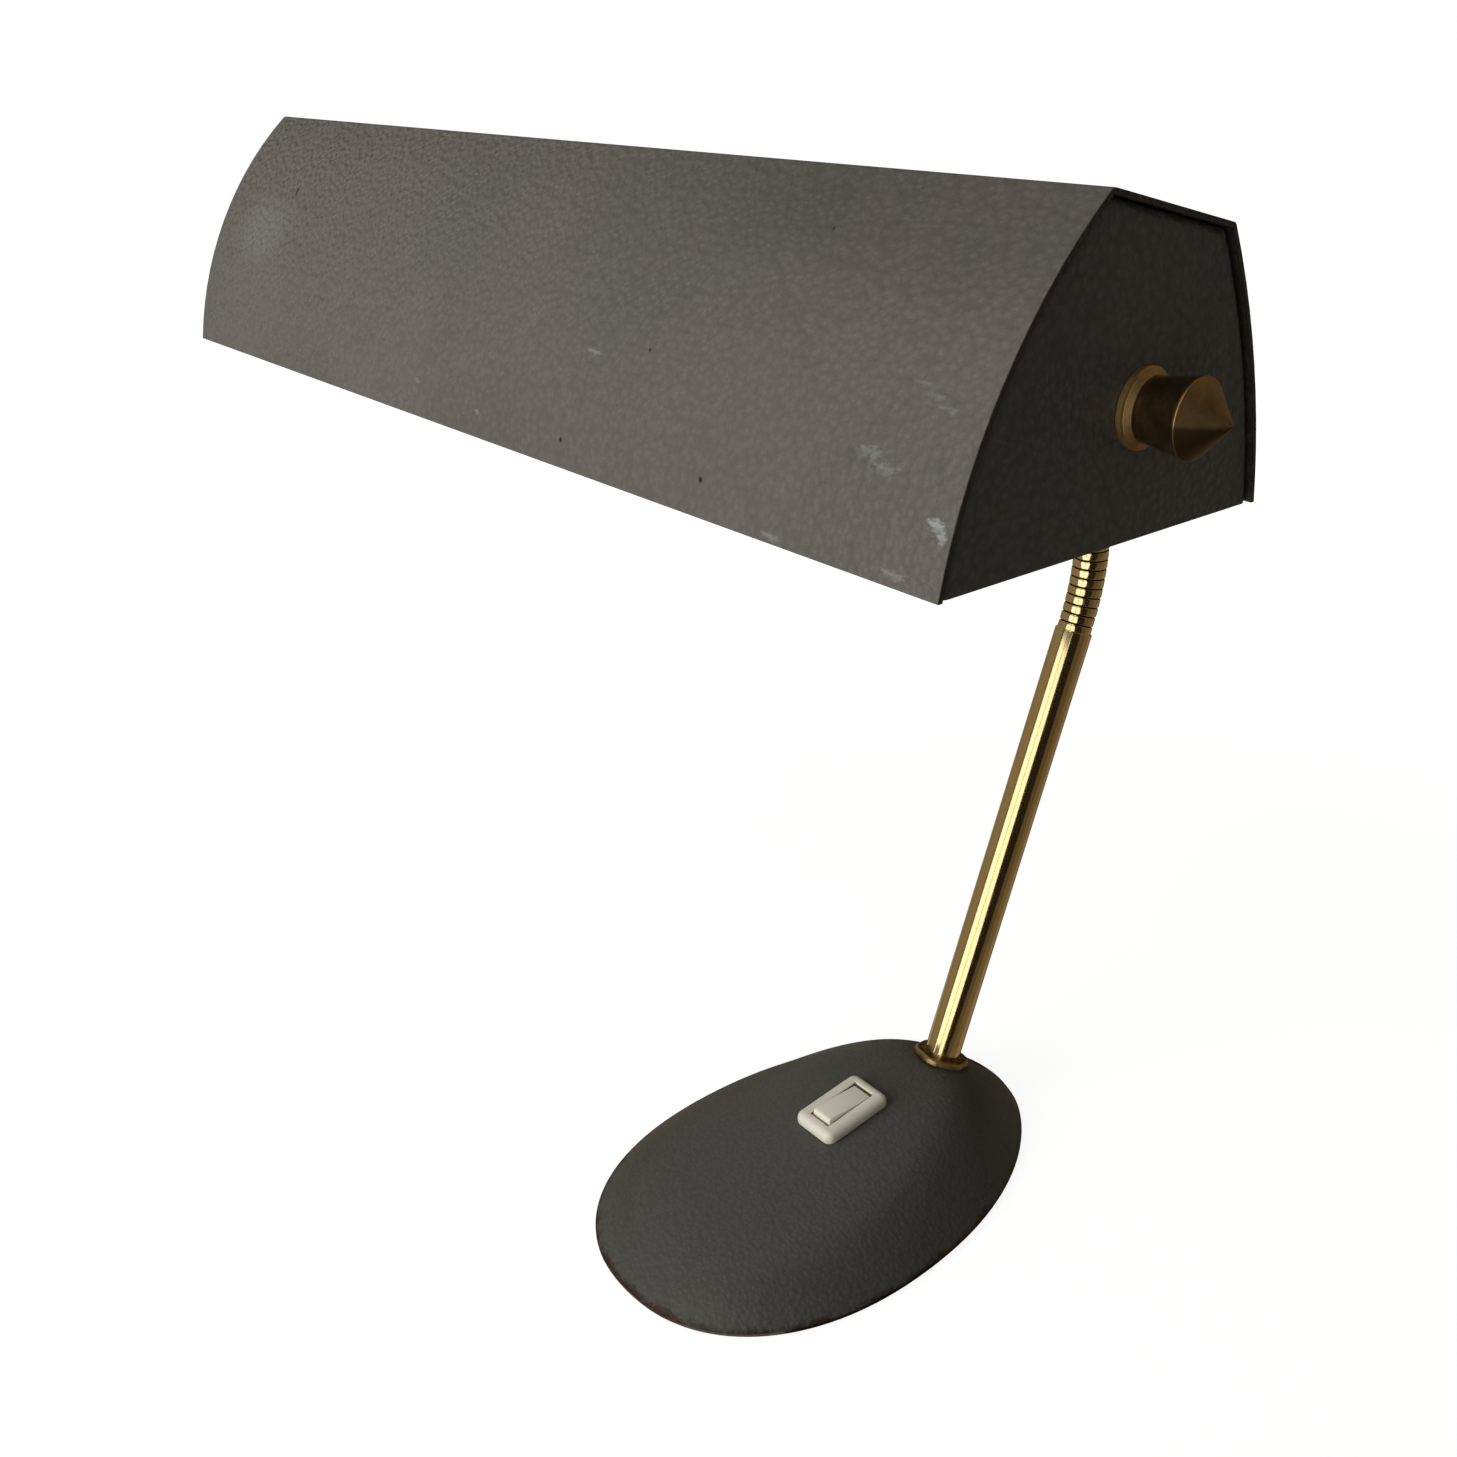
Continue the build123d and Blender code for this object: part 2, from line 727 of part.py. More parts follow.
def build():
    lower, upper = gooseneck_parts()
    nodes = {
        "base_shell": base_shell(),
        "base_weight": base_weight(),
        "base_plate": base_plate(),
        "base_plate_screws": base_plate_screws(),
        "felt_pad": felt_pad(),
        "cord_grommet": cord_grommet(),
        "switch_bezel": switch_bezel(),
        "switch_rocker": switch_rocker(),
        "switch_body": switch_body(),
        "switch_terminals": switch_terminals(),
        "riser_tube": riser_tube(),
        "riser_nipple": riser_nipple(),
        "foot_washer": foot_washer(),
        "lock_washer": lock_washer(),
        "riser_nut": riser_nut(),
        "gooseneck_lower": lower,
        "gooseneck_upper": upper,
        "gooseneck_ferrule": gooseneck_ferrule(),
        "head_washer": head_washer(),
        "head_nut": head_nut(),
        "lamp_bracket": lamp_bracket(),
        "holder_screws": holder_screws(),
        "shade_sheet": shade_sheet(),
    }
    for name, side in (("left", -1), ("right", 1)):
        nodes[name + "_end_panel"] = end_panel(side)
        nodes[name + "_knob_collar"] = knob_collar(side)
        nodes[name + "_knob"] = knob(side)
        nodes[name + "_pivot_stud"] = pivot_stud(side)
        nodes[name + "_friction_washer"] = friction_washer(side)
        nodes[name + "_lampholder"] = lampholder(side)
        nodes[name + "_bulb_cap"] = bulb_cap(side)
        nodes[name + "_bulb_glass"] = bulb_glass(side)
        nodes[name + "_holder_lead"] = holder_lead(side)
    return nodes


os.makedirs("parts", exist_ok=True)
for node, shape in build().items():
    export_step(shape, "parts/" + node + ".step")
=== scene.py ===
from math import cos, radians, sin, tan
import bpy
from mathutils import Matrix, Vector


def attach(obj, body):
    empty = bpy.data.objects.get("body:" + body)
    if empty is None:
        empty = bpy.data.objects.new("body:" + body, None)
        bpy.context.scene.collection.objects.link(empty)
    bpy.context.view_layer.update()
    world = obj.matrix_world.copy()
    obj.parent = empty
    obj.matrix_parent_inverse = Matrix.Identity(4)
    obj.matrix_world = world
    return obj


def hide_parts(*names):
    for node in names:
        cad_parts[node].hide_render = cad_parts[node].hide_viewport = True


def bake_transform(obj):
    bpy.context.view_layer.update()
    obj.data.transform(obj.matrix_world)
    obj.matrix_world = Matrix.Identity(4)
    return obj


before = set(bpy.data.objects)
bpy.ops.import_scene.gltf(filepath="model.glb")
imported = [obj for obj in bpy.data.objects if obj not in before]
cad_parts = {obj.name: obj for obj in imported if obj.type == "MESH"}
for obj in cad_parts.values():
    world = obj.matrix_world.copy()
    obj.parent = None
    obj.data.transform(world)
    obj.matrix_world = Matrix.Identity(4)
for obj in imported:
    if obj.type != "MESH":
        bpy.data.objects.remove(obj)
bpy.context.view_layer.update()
mm = 0.001
mergeGap = 0.002  # mm, under which points are one
pointed = 0.0001  # mm, the first ring of a turned piece that starts on its axis
print("frame loaded with", len(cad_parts), "nodes")


# handling pieces

def clearSelection():
    if bpy.context.object and bpy.context.object.mode != "OBJECT":
        bpy.ops.object.mode_set(mode="OBJECT")
    bpy.ops.object.select_all(action="DESELECT")


def takeHold(piece):
    clearSelection()
    piece.select_set(True)
    bpy.context.view_layer.objects.active = piece


def settle(piece):
    takeHold(piece)
    bpy.ops.object.transform_apply(location=True, rotation=True, scale=True)


def useModifier(piece, kind, **values):
    takeHold(piece)
    modifier = piece.modifiers.new(kind.title(), kind)
    for key, value in values.items():
        setattr(modifier, key, value)
    bpy.ops.object.modifier_apply(modifier=modifier.name)


def softenEdges(piece, width, segments, angle):
    useModifier(
        piece, "BEVEL", width=width * mm, segments=segments, limit_method="ANGLE",
        angle_limit=radians(angle), harden_normals=False, use_clamp_overlap=True)


def smoothShade(piece, angle):
    takeHold(piece)
    bpy.ops.object.shade_smooth_by_angle(angle=radians(angle))


def cleanMesh(piece):
    takeHold(piece)
    bpy.ops.object.mode_set(mode="EDIT")
    bpy.ops.mesh.select_all(action="SELECT")
    bpy.ops.mesh.remove_doubles(threshold=mergeGap * mm)
    bpy.ops.mesh.normals_make_consistent(inside=False)
    bpy.ops.object.mode_set(mode="OBJECT")


def turned(name, steps, segments):
    # a turned piece on Z: steps are (along, radius) in mm, the tool going from ring to ring
    clearSelection()
    along, radius = steps[0]
    bpy.ops.mesh.primitive_circle_add(
        vertices=segments, radius=radius * mm, fill_type="NOTHING", location=(0, 0, along * mm))
    piece = bpy.context.object
    piece.name = name
    settle(piece)
    bpy.ops.object.mode_set(mode="EDIT")
    bpy.ops.mesh.select_mode(type="VERT")
    bpy.ops.mesh.select_all(action="SELECT")
    for nextAlong, nextRadius in steps[1:]:
        bpy.ops.mesh.extrude_region_move(TRANSFORM_OT_translate={"value": (0, 0, (nextAlong - along) * mm)})
        if nextRadius == 0:
            bpy.ops.mesh.merge(type="CENTER")
            break
        grow = nextRadius / radius
        bpy.ops.transform.resize(value=(grow, grow, 1), center_override=(0, 0, nextAlong * mm))
        along, radius = nextAlong, nextRadius
    cleanMesh(piece)
    return piece


def layAlongX(piece, side, start):
    # stands the turned piece on the pivot line, pointing out to one side
    piece.rotation_euler = (0, side * radians(90), 0)
    piece.location = (side * start * mm, pivotLine["y"] * mm, pivotLine["z"] * mm)
    settle(piece)


def leanWithTube(piece):
    # stands the piece on the tube's foot and leans it as the tube does
    piece.rotation_euler = (-radians(stem["lean"]), 0, 0)
    piece.location = (0, stem["foot"][0] * mm, stem["foot"][1] * mm)
    settle(piece)


def layOnSwitch(piece, lift=0.0, rock=0.0):
    # sets the piece on the switch's own slope, lifted square to it and rocked on its own X
    slope = radians(switch["slope"])
    piece.rotation_euler = (slope + radians(rock), 0, 0)
    y, z = switch["place"]
    piece.location = (0, (y - lift * sin(slope)) * mm, (z + lift * cos(slope)) * mm)
    settle(piece)


def block(name, wide, long, low, high):
    # a squared blank on the middle line, from one height to another
    clearSelection()
    bpy.ops.mesh.primitive_cube_add(size=1, location=(0, 0, (low + high) / 2 * mm))
    piece = bpy.context.object
    piece.name = name
    piece.scale = (wide * mm, long * mm, (high - low) * mm)
    settle(piece)
    return piece


def bevelWhere(piece, chosen, width, segments):
    # bevels the edges whose middle and direction the test picks
    takeHold(piece)
    bpy.ops.object.mode_set(mode="EDIT")
    bpy.ops.mesh.select_mode(type="EDGE")
    bpy.ops.mesh.select_all(action="DESELECT")
    bpy.ops.object.mode_set(mode="OBJECT")
    for edge in piece.data.edges:
        first, last = [piece.data.vertices[i].co for i in edge.vertices]
        edge.select = chosen((first + last) / 2 / mm, (last - first) / mm)
    bpy.ops.object.mode_set(mode="EDIT")
    bpy.ops.mesh.bevel(offset=width * mm, segments=segments, profile=0.5, affect="EDGES")
    bpy.ops.object.mode_set(mode="OBJECT")


def standing(middle, run):
    # picks the upright edges of a blank
    return abs(run.z) > 1


def cutWith(piece, cutter):
    useModifier(piece, "BOOLEAN", operation="DIFFERENCE", object=cutter, solver="EXACT")
    bpy.data.objects.remove(cutter)


def dress(piece, body, looks, node):
    piece.data.materials.clear()
    for look in looks:
        piece.data.materials.append(look)
    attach(piece, body)
    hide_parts(node)


# nodes of a material

def addNode(tree, kind, values=None, **settings):
    node = tree.nodes.new(kind)
    for key, value in settings.items():
        setattr(node, key, value)
    for key, value in (values or {}).items():
        node.inputs[key].default_value = value
    return node


def mathStep(tree, operation, first, second=None, third=None):
    node = addNode(tree, "ShaderNodeMath", operation=operation)
    for index, value in enumerate((first, second, third)):
        if value is None:
            continue
        if isinstance(value, (int, float)):
            node.inputs[index].default_value = value
        else:
            tree.links.new(value, node.inputs[index])
    return node.outputs[0]


def mixColour(tree, amount, first, second, blend="MIX"):
    node = addNode(tree, "ShaderNodeMix", data_type="RGBA", blend_type=blend)
    for index, value in ((0, amount), (6, first), (7, second)):
        if isinstance(value, (int, float)):
            node.inputs[index].default_value = value
        elif isinstance(value, tuple):
            node.inputs[index].default_value = value + (1,)
        else:
            tree.links.new(value, node.inputs[index])
    return node.outputs[2]


def spread(tree, value, low, high, toLow=0.0, toHigh=1.0):
    node = addNode(tree, "ShaderNodeMapRange", interpolation_type="SMOOTHSTEP")
    tree.links.new(value, node.inputs["Value"])
    for key, number in (("From Min", low), ("From Max", high), ("To Min", toLow), ("To Max", toHigh)):
        node.inputs[key].default_value = number
    return node.outputs[0]


def noiseAt(tree, place, scale, detail=3.0, rough=0.55):
    node = addNode(tree, "ShaderNodeTexNoise", {"Scale": scale, "Detail": detail, "Roughness": rough})
    tree.links.new(place, node.inputs["Vector"])
    return node.outputs["Fac"]


def newLook(name, roughness, metallic, **sockets):
    look = bpy.data.materials.new(name)
    look.use_nodes = True
    tree = look.node_tree
    shader = tree.nodes["Principled BSDF"]
    shader.inputs["Roughness"].default_value = roughness
    shader.inputs["Metallic"].default_value = metallic
    for key, value in sockets.items():
        shader.inputs[key.replace("_", " ")].default_value = value
    place = addNode(tree, "ShaderNodeTexCoord").outputs["Object"]
    return look, tree, shader, place


def useGroup(tree, group, **values):
    node = addNode(tree, "ShaderNodeGroup", node_tree=group)
    for key, value in values.items():
        socket = node.inputs[key.replace("_", " ")]
        if isinstance(value, (int, float, tuple)):
            socket.default_value = value
        else:
            tree.links.new(value, socket)
    return node


def bumpInto(tree, shader, height, strength, distance):
    node = addNode(tree, "ShaderNodeBump", {"Distance": distance})
    if isinstance(strength, (int, float)):
        node.inputs["Strength"].default_value = strength
    else:
        tree.links.new(strength, node.inputs["Strength"])
    tree.links.new(height, node.inputs["Height"])
    tree.links.new(node.outputs[0], shader.inputs["Normal"])


def newGroup(name, inputs, outputs):
    group = bpy.data.node_groups.new(name, "ShaderNodeTree")
    for key, kind, value in inputs:
        socket = group.interface.new_socket(key, in_out="INPUT", socket_type=kind)
        if value is not None:
            socket.default_value = value
    for key, kind in outputs:
        group.interface.new_socket(key, in_out="OUTPUT", socket_type=kind)
    return group, group.nodes.new("NodeGroupInput"), group.nodes.new("NodeGroupOutput")


# shared effects

hammer = {
    # patterns per metre, and how much the fine and broad ones add to the dimples
    "fine": 900.0, "broad": 260.0, "drift": 22.0, "dots": 70.0,
    "fineShare": 0.35, "broadShare": 0.5,
    "dotEdge": (0.018, 0.03), "dotRarity": 0.9, "smooth": 0.6,
}


def makeHammerGroup():
    # hammer paint: its height, a slow colour drift, the dimples alone and small bright specks
    group, source, result = newGroup(
        "hammerFinish",
        [("Place", "NodeSocketVector", None), ("Cells", "NodeSocketFloat", 520.0)],
        [("Height", "NodeSocketFloat"), ("Drift", "NodeSocketFloat"), ("Grain", "NodeSocketFloat"),
         ("Specks", "NodeSocketFloat")])
    place = source.outputs["Place"]
    cells = addNode(group, "ShaderNodeTexVoronoi", {"Randomness": 1.0}, feature="SMOOTH_F1")
    cells.inputs["Smoothness"].default_value = hammer["smooth"]
    group.links.new(place, cells.inputs["Vector"])
    group.links.new(source.outputs["Cells"], cells.inputs["Scale"])
    fine = noiseAt(group, place, hammer["fine"], 2.0)
    broad = noiseAt(group, place, hammer["broad"], 2.0)
    height = mathStep(group, "MULTIPLY_ADD", fine, hammer["fineShare"], cells.outputs["Distance"])
    height = mathStep(group, "MULTIPLY_ADD", broad, hammer["broadShare"], height)
    group.links.new(height, result.inputs["Height"])
    group.links.new(noiseAt(group, place, hammer["drift"], 4.0, 0.6), result.inputs["Drift"])
    group.links.new(cells.outputs["Distance"], result.inputs["Grain"])
    dots = addNode(group, "ShaderNodeTexVoronoi", {"Scale": hammer["dots"], "Randomness": 1.0})
    group.links.new(place, dots.inputs["Vector"])
    near = spread(group, dots.outputs["Distance"], *hammer["dotEdge"], 1.0, 0.0)
    chosen = addNode(group, "ShaderNodeSeparateColor")
    group.links.new(dots.outputs["Color"], chosen.inputs[0])
    rare = mathStep(group, "GREATER_THAN", chosen.outputs[0], hammer["dotRarity"])
    group.links.new(mathStep(group, "MULTIPLY", near, rare), result.inputs["Specks"])
    return group


def makeSmudgeGroup():
    # one rubbed mark: a stretched spot round a point, torn into strokes by noise
    group, source, result = newGroup(
        "rubbedMark",
        [("Place", "NodeSocketVector", None), ("Middle", "NodeSocketVector", None),
         ("Reach", "NodeSocketVector", (0.01, 0.01, 0.01)), ("Ragged", "NodeSocketFloat", 0.5),
         ("Strokes", "NodeSocketVector", (220.0, 220.0, 220.0))],
        [("Mask", "NodeSocketFloat")])
    away = addNode(group, "ShaderNodeVectorMath", operation="SUBTRACT")
    group.links.new(source.outputs["Place"], away.inputs[0])
    group.links.new(source.outputs["Middle"], away.inputs[1])
    share = addNode(group, "ShaderNodeVectorMath", operation="DIVIDE")
    group.links.new(away.outputs[0], share.inputs[0])
    group.links.new(source.outputs["Reach"], share.inputs[1])
    length = addNode(group, "ShaderNodeVectorMath", operation="LENGTH")
    group.links.new(share.outputs[0], length.inputs[0])
    drawn = addNode(group, "ShaderNodeVectorMath", operation="MULTIPLY")
    group.links.new(away.outputs[0], drawn.inputs[0])
    group.links.new(source.outputs["Strokes"], drawn.inputs[1])
    broken = noiseAt(group, drawn.outputs[0], 1.0, 5.0, 0.72)
    shifted = mathStep(group, "SUBTRACT", broken, 0.5)
    rough = mathStep(group, "MULTIPLY", shifted, source.outputs["Ragged"])
    rough = mathStep(group, "MULTIPLY", rough, 6.0)
    total = mathStep(group, "ADD", length.outputs["Value"], rough)
    group.links.new(spread(group, total, 0.3, 1.0, 1.0, 0.0), result.inputs["Mask"])
    return group


def makePatinaGroup():
    # tarnish for brass: cloudy darkening, fine scratches and small pits
    group, source, result = newGroup(
        "brassPatina",
        [("Place", "NodeSocketVector", None), ("Cloud", "NodeSocketFloat", 60.0),
         ("Scratch", "NodeSocketVector", (1.0, 1.0, 1.0))],
        [("Clouds", "NodeSocketFloat"), ("Lines", "NodeSocketFloat"), ("Pits", "NodeSocketFloat")])
    clouds = addNode(group, "ShaderNodeTexNoise", {"Detail": 5.0, "Roughness": 0.65})
    group.links.new(source.outputs["Place"], clouds.inputs["Vector"])
    group.links.new(source.outputs["Cloud"], clouds.inputs["Scale"])
    group.links.new(clouds.outputs["Fac"], result.inputs["Clouds"])
    pulled = addNode(group, "ShaderNodeVectorMath", operation="MULTIPLY")
    group.links.new(source.outputs["Place"], pulled.inputs[0])
    group.links.new(source.outputs["Scratch"], pulled.inputs[1])
    group.links.new(noiseAt(group, pulled.outputs[0], 1.0, 2.0), result.inputs["Lines"])
    pits = addNode(group, "ShaderNodeTexVoronoi", {"Scale": 520.0})
    group.links.new(source.outputs["Place"], pits.inputs["Vector"])
    group.links.new(spread(group, pits.outputs["Distance"], 0.05, 0.16, 1.0, 0.0), result.inputs["Pits"])
    return group


hammerGroup = makeHammerGroup()
smudgeGroup = makeSmudgeGroup()
patinaGroup = makePatinaGroup()


# finishes

paint = {
    "warm": (0.107, 0.098, 0.0865),
    "rose": (0.117, 0.102, 0.0945),
    "moss": (0.094, 0.094, 0.081),
    "chalk": (0.30, 0.315, 0.31),
    "chip": (0.012, 0.011, 0.011),
    "cells": 600.0,
    "speckle": 0.3,
    "depth": 0.0004,
    # where a pattern's value turns one colour into the next
    "driftEdge": (0.42, 0.62), "coldEdge": (0.5, 0.68), "speckleEdge": (0.3, 0.7),
    "dimpleEdge": (0.15, 0.75), "glossEdge": (0.3, 0.7), "gloss": (0.42, 0.56), "specular": 0.35,
    "coldScale": 9.0, "speckleScale": 1500.0, "speckleLift": 1.5, "dimpleDark": 0.5, "dimpleShare": 0.4,
    "specks": 0.5, "ends": 130.0,  # mm out from the middle, where the relief stops growing
}

streak = (420.0, 700.0, 1500.0)  # strokes per metre along X, Y and Z
chipEdge = {"ragged": 0.15, "strokes": (900.0, 900.0, 900.0)}
shadeMarks = [
    # middle in mm, reach in mm, ragged, strength; below zero it darkens
    # painted light: the sheet mixed paler towards its far, left end
    ((-150.0, -105.0, 330.0), (270.0, 90.0, 90.0), 0.0, 0.07),
    ((-122.0, -115.2, 326.9), (20.0, 10.0, 14.0), 0.1, 0.14),
    # painted shade: the top of the near, right end darkened
    ((128.0, -97.0, 350.0), (80.0, 30.0, 24.0), 0.0, -0.16),
    ((128.8, -121.5, 313.6), (3.6, 4.0, 1.1), 0.8, 0.27),
    ((132.6, -122.3, 311.6), (3.4, 4.0, 1.0), 0.8, 0.27),
    ((146.0, -124.5, 305.6), (2.3, 4.0, 1.3), 0.5, 0.85),
    ((147.8, -125.0, 304.0), (1.3, 4.0, 1.5), 0.5, 0.7),
    ((134.5, -116.1, 325.2), (2.4, 4.0, 0.55), 0.8, 0.22),
    ((138.2, -116.9, 323.8), (2.4, 4.0, 0.55), 0.8, 0.22),
    ((141.8, -117.4, 322.4), (2.4, 4.0, 0.55), 0.8, 0.22),
    ((46.8, -119.8, 317.8), (3.2, 4.0, 0.5), 0.8, 0.4),
    ((109.2, -126.7, 295.2), (3.0, 4.0, 0.8), 0.6, 0.35),
    ((139.5, -126.6, 296.0), (3.4, 4.0, 0.9), 0.75, 0.35),
    ((-20.0, -124.5, 302.0), (1.6, 4.0, 0.6), 0.5, 0.45),
    ((8.0, -125.3, 299.5), (1.3, 4.0, 0.6), 0.5, 0.5),
]
shadeChips = [
    ((-111.3, -108.4, 337.2), (0.7, 2.0, 2.2)),
    ((87.9, -125.5, 300.9), (0.9, 2.0, 0.8)),
    ((41.5, -125.9, 299.6), (0.7, 2.0, 0.8)),
    ((63.9, -118.5, 320.5), (0.5, 2.0, 0.5)),
    ((98.0, -101.5, 345.0), (0.5, 2.0, 0.5)),
]
sectionLine = {
    "frontBottom": (-126.9, 294.0), "frontTop": (-92.3, 354.9), "frontBulge": 6.2,
    "backBottom": (-36.9, 294.0), "backTop": (-56.9, 347.2), "backBulge": 2.8, "sheet": 0.95, "panel": 2.02,
}
pivotLine = {"y": -77.2, "z": 318.2}
stem = {"lean": 18.8, "foot": (61.98, 22.9), "length": 169.57}
switch = {"place": (8.8, 22.3), "slope": 6.0}
# white inside as far out as sheet or panel in mm; past it the sheet's inner face is painted dark and its
# cut edge near black, painted shade of the groove beside the end panels
enamel = {
    "colour": (0.74, 0.73, 0.68), "sheet": 146.9, "panel": 148.32,
    "rim": (0.043, 0.039, 0.035), "cut": 149.8, "cutShare": 0.7,
}


def arcOf(first, last, bulge):
    # middle and radius of the bowed side between two corners, all in mm
    chordY, chordZ = last[0] - first[0], last[1] - first[1]
    chord = (chordY ** 2 + chordZ ** 2) ** 0.5
    radius = (chord * chord / 4 + bulge * bulge) / (2 * bulge)
    outY, outZ = -chordZ / chord, chordY / chord
    middleY = (first[0] + last[0]) / 2 - outY * (radius - bulge)
    middleZ = (first[1] + last[1]) / 2 - outZ * (radius - bulge)
    return (middleY, middleZ), radius


def insideArc(tree, flat, middle, limit):
    centre = (0, middle[0] * mm, middle[1] * mm)
    away = addNode(tree, "ShaderNodeVectorMath", {1: centre}, operation="DISTANCE")
    tree.links.new(flat, away.inputs[0])
    return mathStep(tree, "LESS_THAN", away.outputs["Value"], limit * mm)


def insideOfSection(tree, place, inset):
    # 1 further in than inset from the section that the sheet is bent to
    line = sectionLine
    flat = addNode(tree, "ShaderNodeVectorMath", {1: (0, 1, 1)}, operation="MULTIPLY")
    tree.links.new(place, flat.inputs[0])
    frontMiddle, frontRadius = arcOf(line["frontBottom"], line["frontTop"], line["frontBulge"])
    backMiddle, backRadius = arcOf(line["backTop"], line["backBottom"], line["backBulge"])
    front = insideArc(tree, flat.outputs[0], frontMiddle, frontRadius - inset)
    back = insideArc(tree, flat.outputs[0], backMiddle, backRadius - inset)
    runY = line["backTop"][0] - line["frontTop"][0]
    runZ = line["backTop"][1] - line["frontTop"][1]
    run = (runY ** 2 + runZ ** 2) ** 0.5
    up = (0, -runZ / run, runY / run)
    level = (up[1] * line["backTop"][0] + up[2] * line["backTop"][1] - inset) * mm
    high = addNode(tree, "ShaderNodeVectorMath", {1: up}, operation="DOT_PRODUCT")
    tree.links.new(flat.outputs[0], high.inputs[0])
    top = mathStep(tree, "LESS_THAN", high.outputs["Value"], level)
    return mathStep(tree, "MULTIPLY", mathStep(tree, "MULTIPLY", front, back), top)


def scaled(values, share):
    return tuple(value * share for value in values)


def placedMark(tree, place, middle, reach, ragged, strokes):
    mark = useGroup(
        tree, smudgeGroup, Place=place, Middle=scaled(middle, mm), Reach=scaled(reach, mm),
        Ragged=ragged, Strokes=strokes)
    return mark.outputs[0]


def partOf(tree, mask, share):
    return mathStep(tree, "MULTIPLY", mask, share)


def hammerPaint(name, bump, mottle, marks=(), chips=(), inner=None, tone=(1.0, 1.0, 1.0)):
    # bump is the relief at the right end and at the left end
    look, tree, shader, place = newLook(name, 0.5, 0.0, Specular_IOR_Level=paint["specular"])
    finish = useGroup(tree, hammerGroup, Place=place, Cells=paint["cells"])
    drift = finish.outputs["Drift"]
    warm, rose, moss = [tuple(c * t for c, t in zip(paint[key], tone)) for key in ("warm", "rose", "moss")]
    colour = mixColour(tree, spread(tree, drift, *paint["driftEdge"], 0.0, mottle), warm, rose)
    cold = noiseAt(tree, place, paint["coldScale"], 3.0)
    colour = mixColour(tree, spread(tree, cold, *paint["coldEdge"], 0.0, mottle), colour, moss)
    grains = noiseAt(tree, place, paint["speckleScale"], 3.0, 0.6)
    speckle = spread(tree, grains, *paint["speckleEdge"], 0.0, paint["speckle"])
    colour = mixColour(tree, speckle, colour, scaled(warm, paint["speckleLift"]))
    deep = spread(tree, finish.outputs["Grain"], *paint["dimpleEdge"], 0.0, paint["dimpleShare"] * bump[0])
    colour = mixColour(tree, deep, colour, scaled(warm, paint["dimpleDark"]))
    specks = partOf(tree, finish.outputs["Specks"], paint["specks"])
    colour = mixColour(tree, specks, colour, paint["chalk"])
    # marks lighten with the chalk colour and darken with the chip colour; two of them are painted light and
    # painted shade, the rest scuffs
    for middle, reach, ragged, strength in marks:
        mark = placedMark(tree, place, middle, reach, ragged, streak)
        tint = paint["chalk"] if strength > 0 else paint["chip"]
        colour = mixColour(tree, partOf(tree, mark, abs(strength)), colour, tint)
    for middle, reach in chips:
        chip = placedMark(tree, place, middle, reach, **chipEdge)
        colour = mixColour(tree, chip, colour, paint["chip"])
    split = addNode(tree, "ShaderNodeSeparateXYZ")
    tree.links.new(place, split.inputs[0])
    if inner:
        outwards = mathStep(tree, "ABSOLUTE", split.outputs[0])
        behind = mathStep(tree, "LESS_THAN", outwards, enamel[inner] * mm)
        within = insideOfSection(tree, place, sectionLine[inner])
        # painted shade: the sheet's inner face past the white, and its cut edge, darkened as the groove
        # beside the end panel
        if inner == "sheet":
            colour = mixColour(tree, within, colour, enamel["rim"])
            cut = mathStep(tree, "GREATER_THAN", outwards, enamel["cut"] * mm)
            colour = mixColour(tree, partOf(tree, cut, enamel["cutShare"]), colour, paint["chip"])
        colour = mixColour(tree, partOf(tree, behind, within), colour, enamel["colour"])
    tree.links.new(colour, shader.inputs["Base Color"])
    tree.links.new(spread(tree, drift, *paint["glossEdge"], *paint["gloss"]), shader.inputs["Roughness"])
    end = paint["ends"] * mm
    relief = spread(tree, split.outputs[0], -end, end, bump[1], bump[0])
    bumpInto(tree, shader, finish.outputs["Height"], relief, paint["depth"])
    return look, tree, shader, place, colour


baseWearAndLight = {
    # tone makes the base's hammer paint darker and greener than the sheet's: a painted shade tint
    "tone": (0.665, 0.715, 0.735), "relief": (0.45, 0.45), "mottle": 0.35,
    # faces that look up are lightened: painted light from above, with dust
    "dustAndTopLight": (1.25, 1.25, 1.25), "dustAndTopLightSlope": (0.87, 0.985),
    "rust": (0.045, 0.02, 0.01),
    "bare": (0.01, 0.008, 0.007),
    "rustLine": (-1.6, 0.2), "rustWander": -6.0,  # heights in mm
    "rustScale": 150.0, "bareScale": 320.0,
    "dirtAndShadeTint": (0.03, 0.022, 0.016),
    "dirtAndShadeEdge": {"ragged": 0.14, "strokes": (110.0, 110.0, 110.0)},
    # dark spots round the switch and the tube's foot are dirt with painted contact shade; the broad one
    # darkens the back of the top
    "dirtAndShadeSpots": [
        ((0.0, 8.0, 23.0), (14.0, 20.0, 9.0), 0.75), ((0.0, 61.0, 21.5), (17.0, 17.0, 9.0), 0.85),
        ((-6.0, 42.0, 23.0), (64.0, 56.0, 20.0), 0.2)],
}


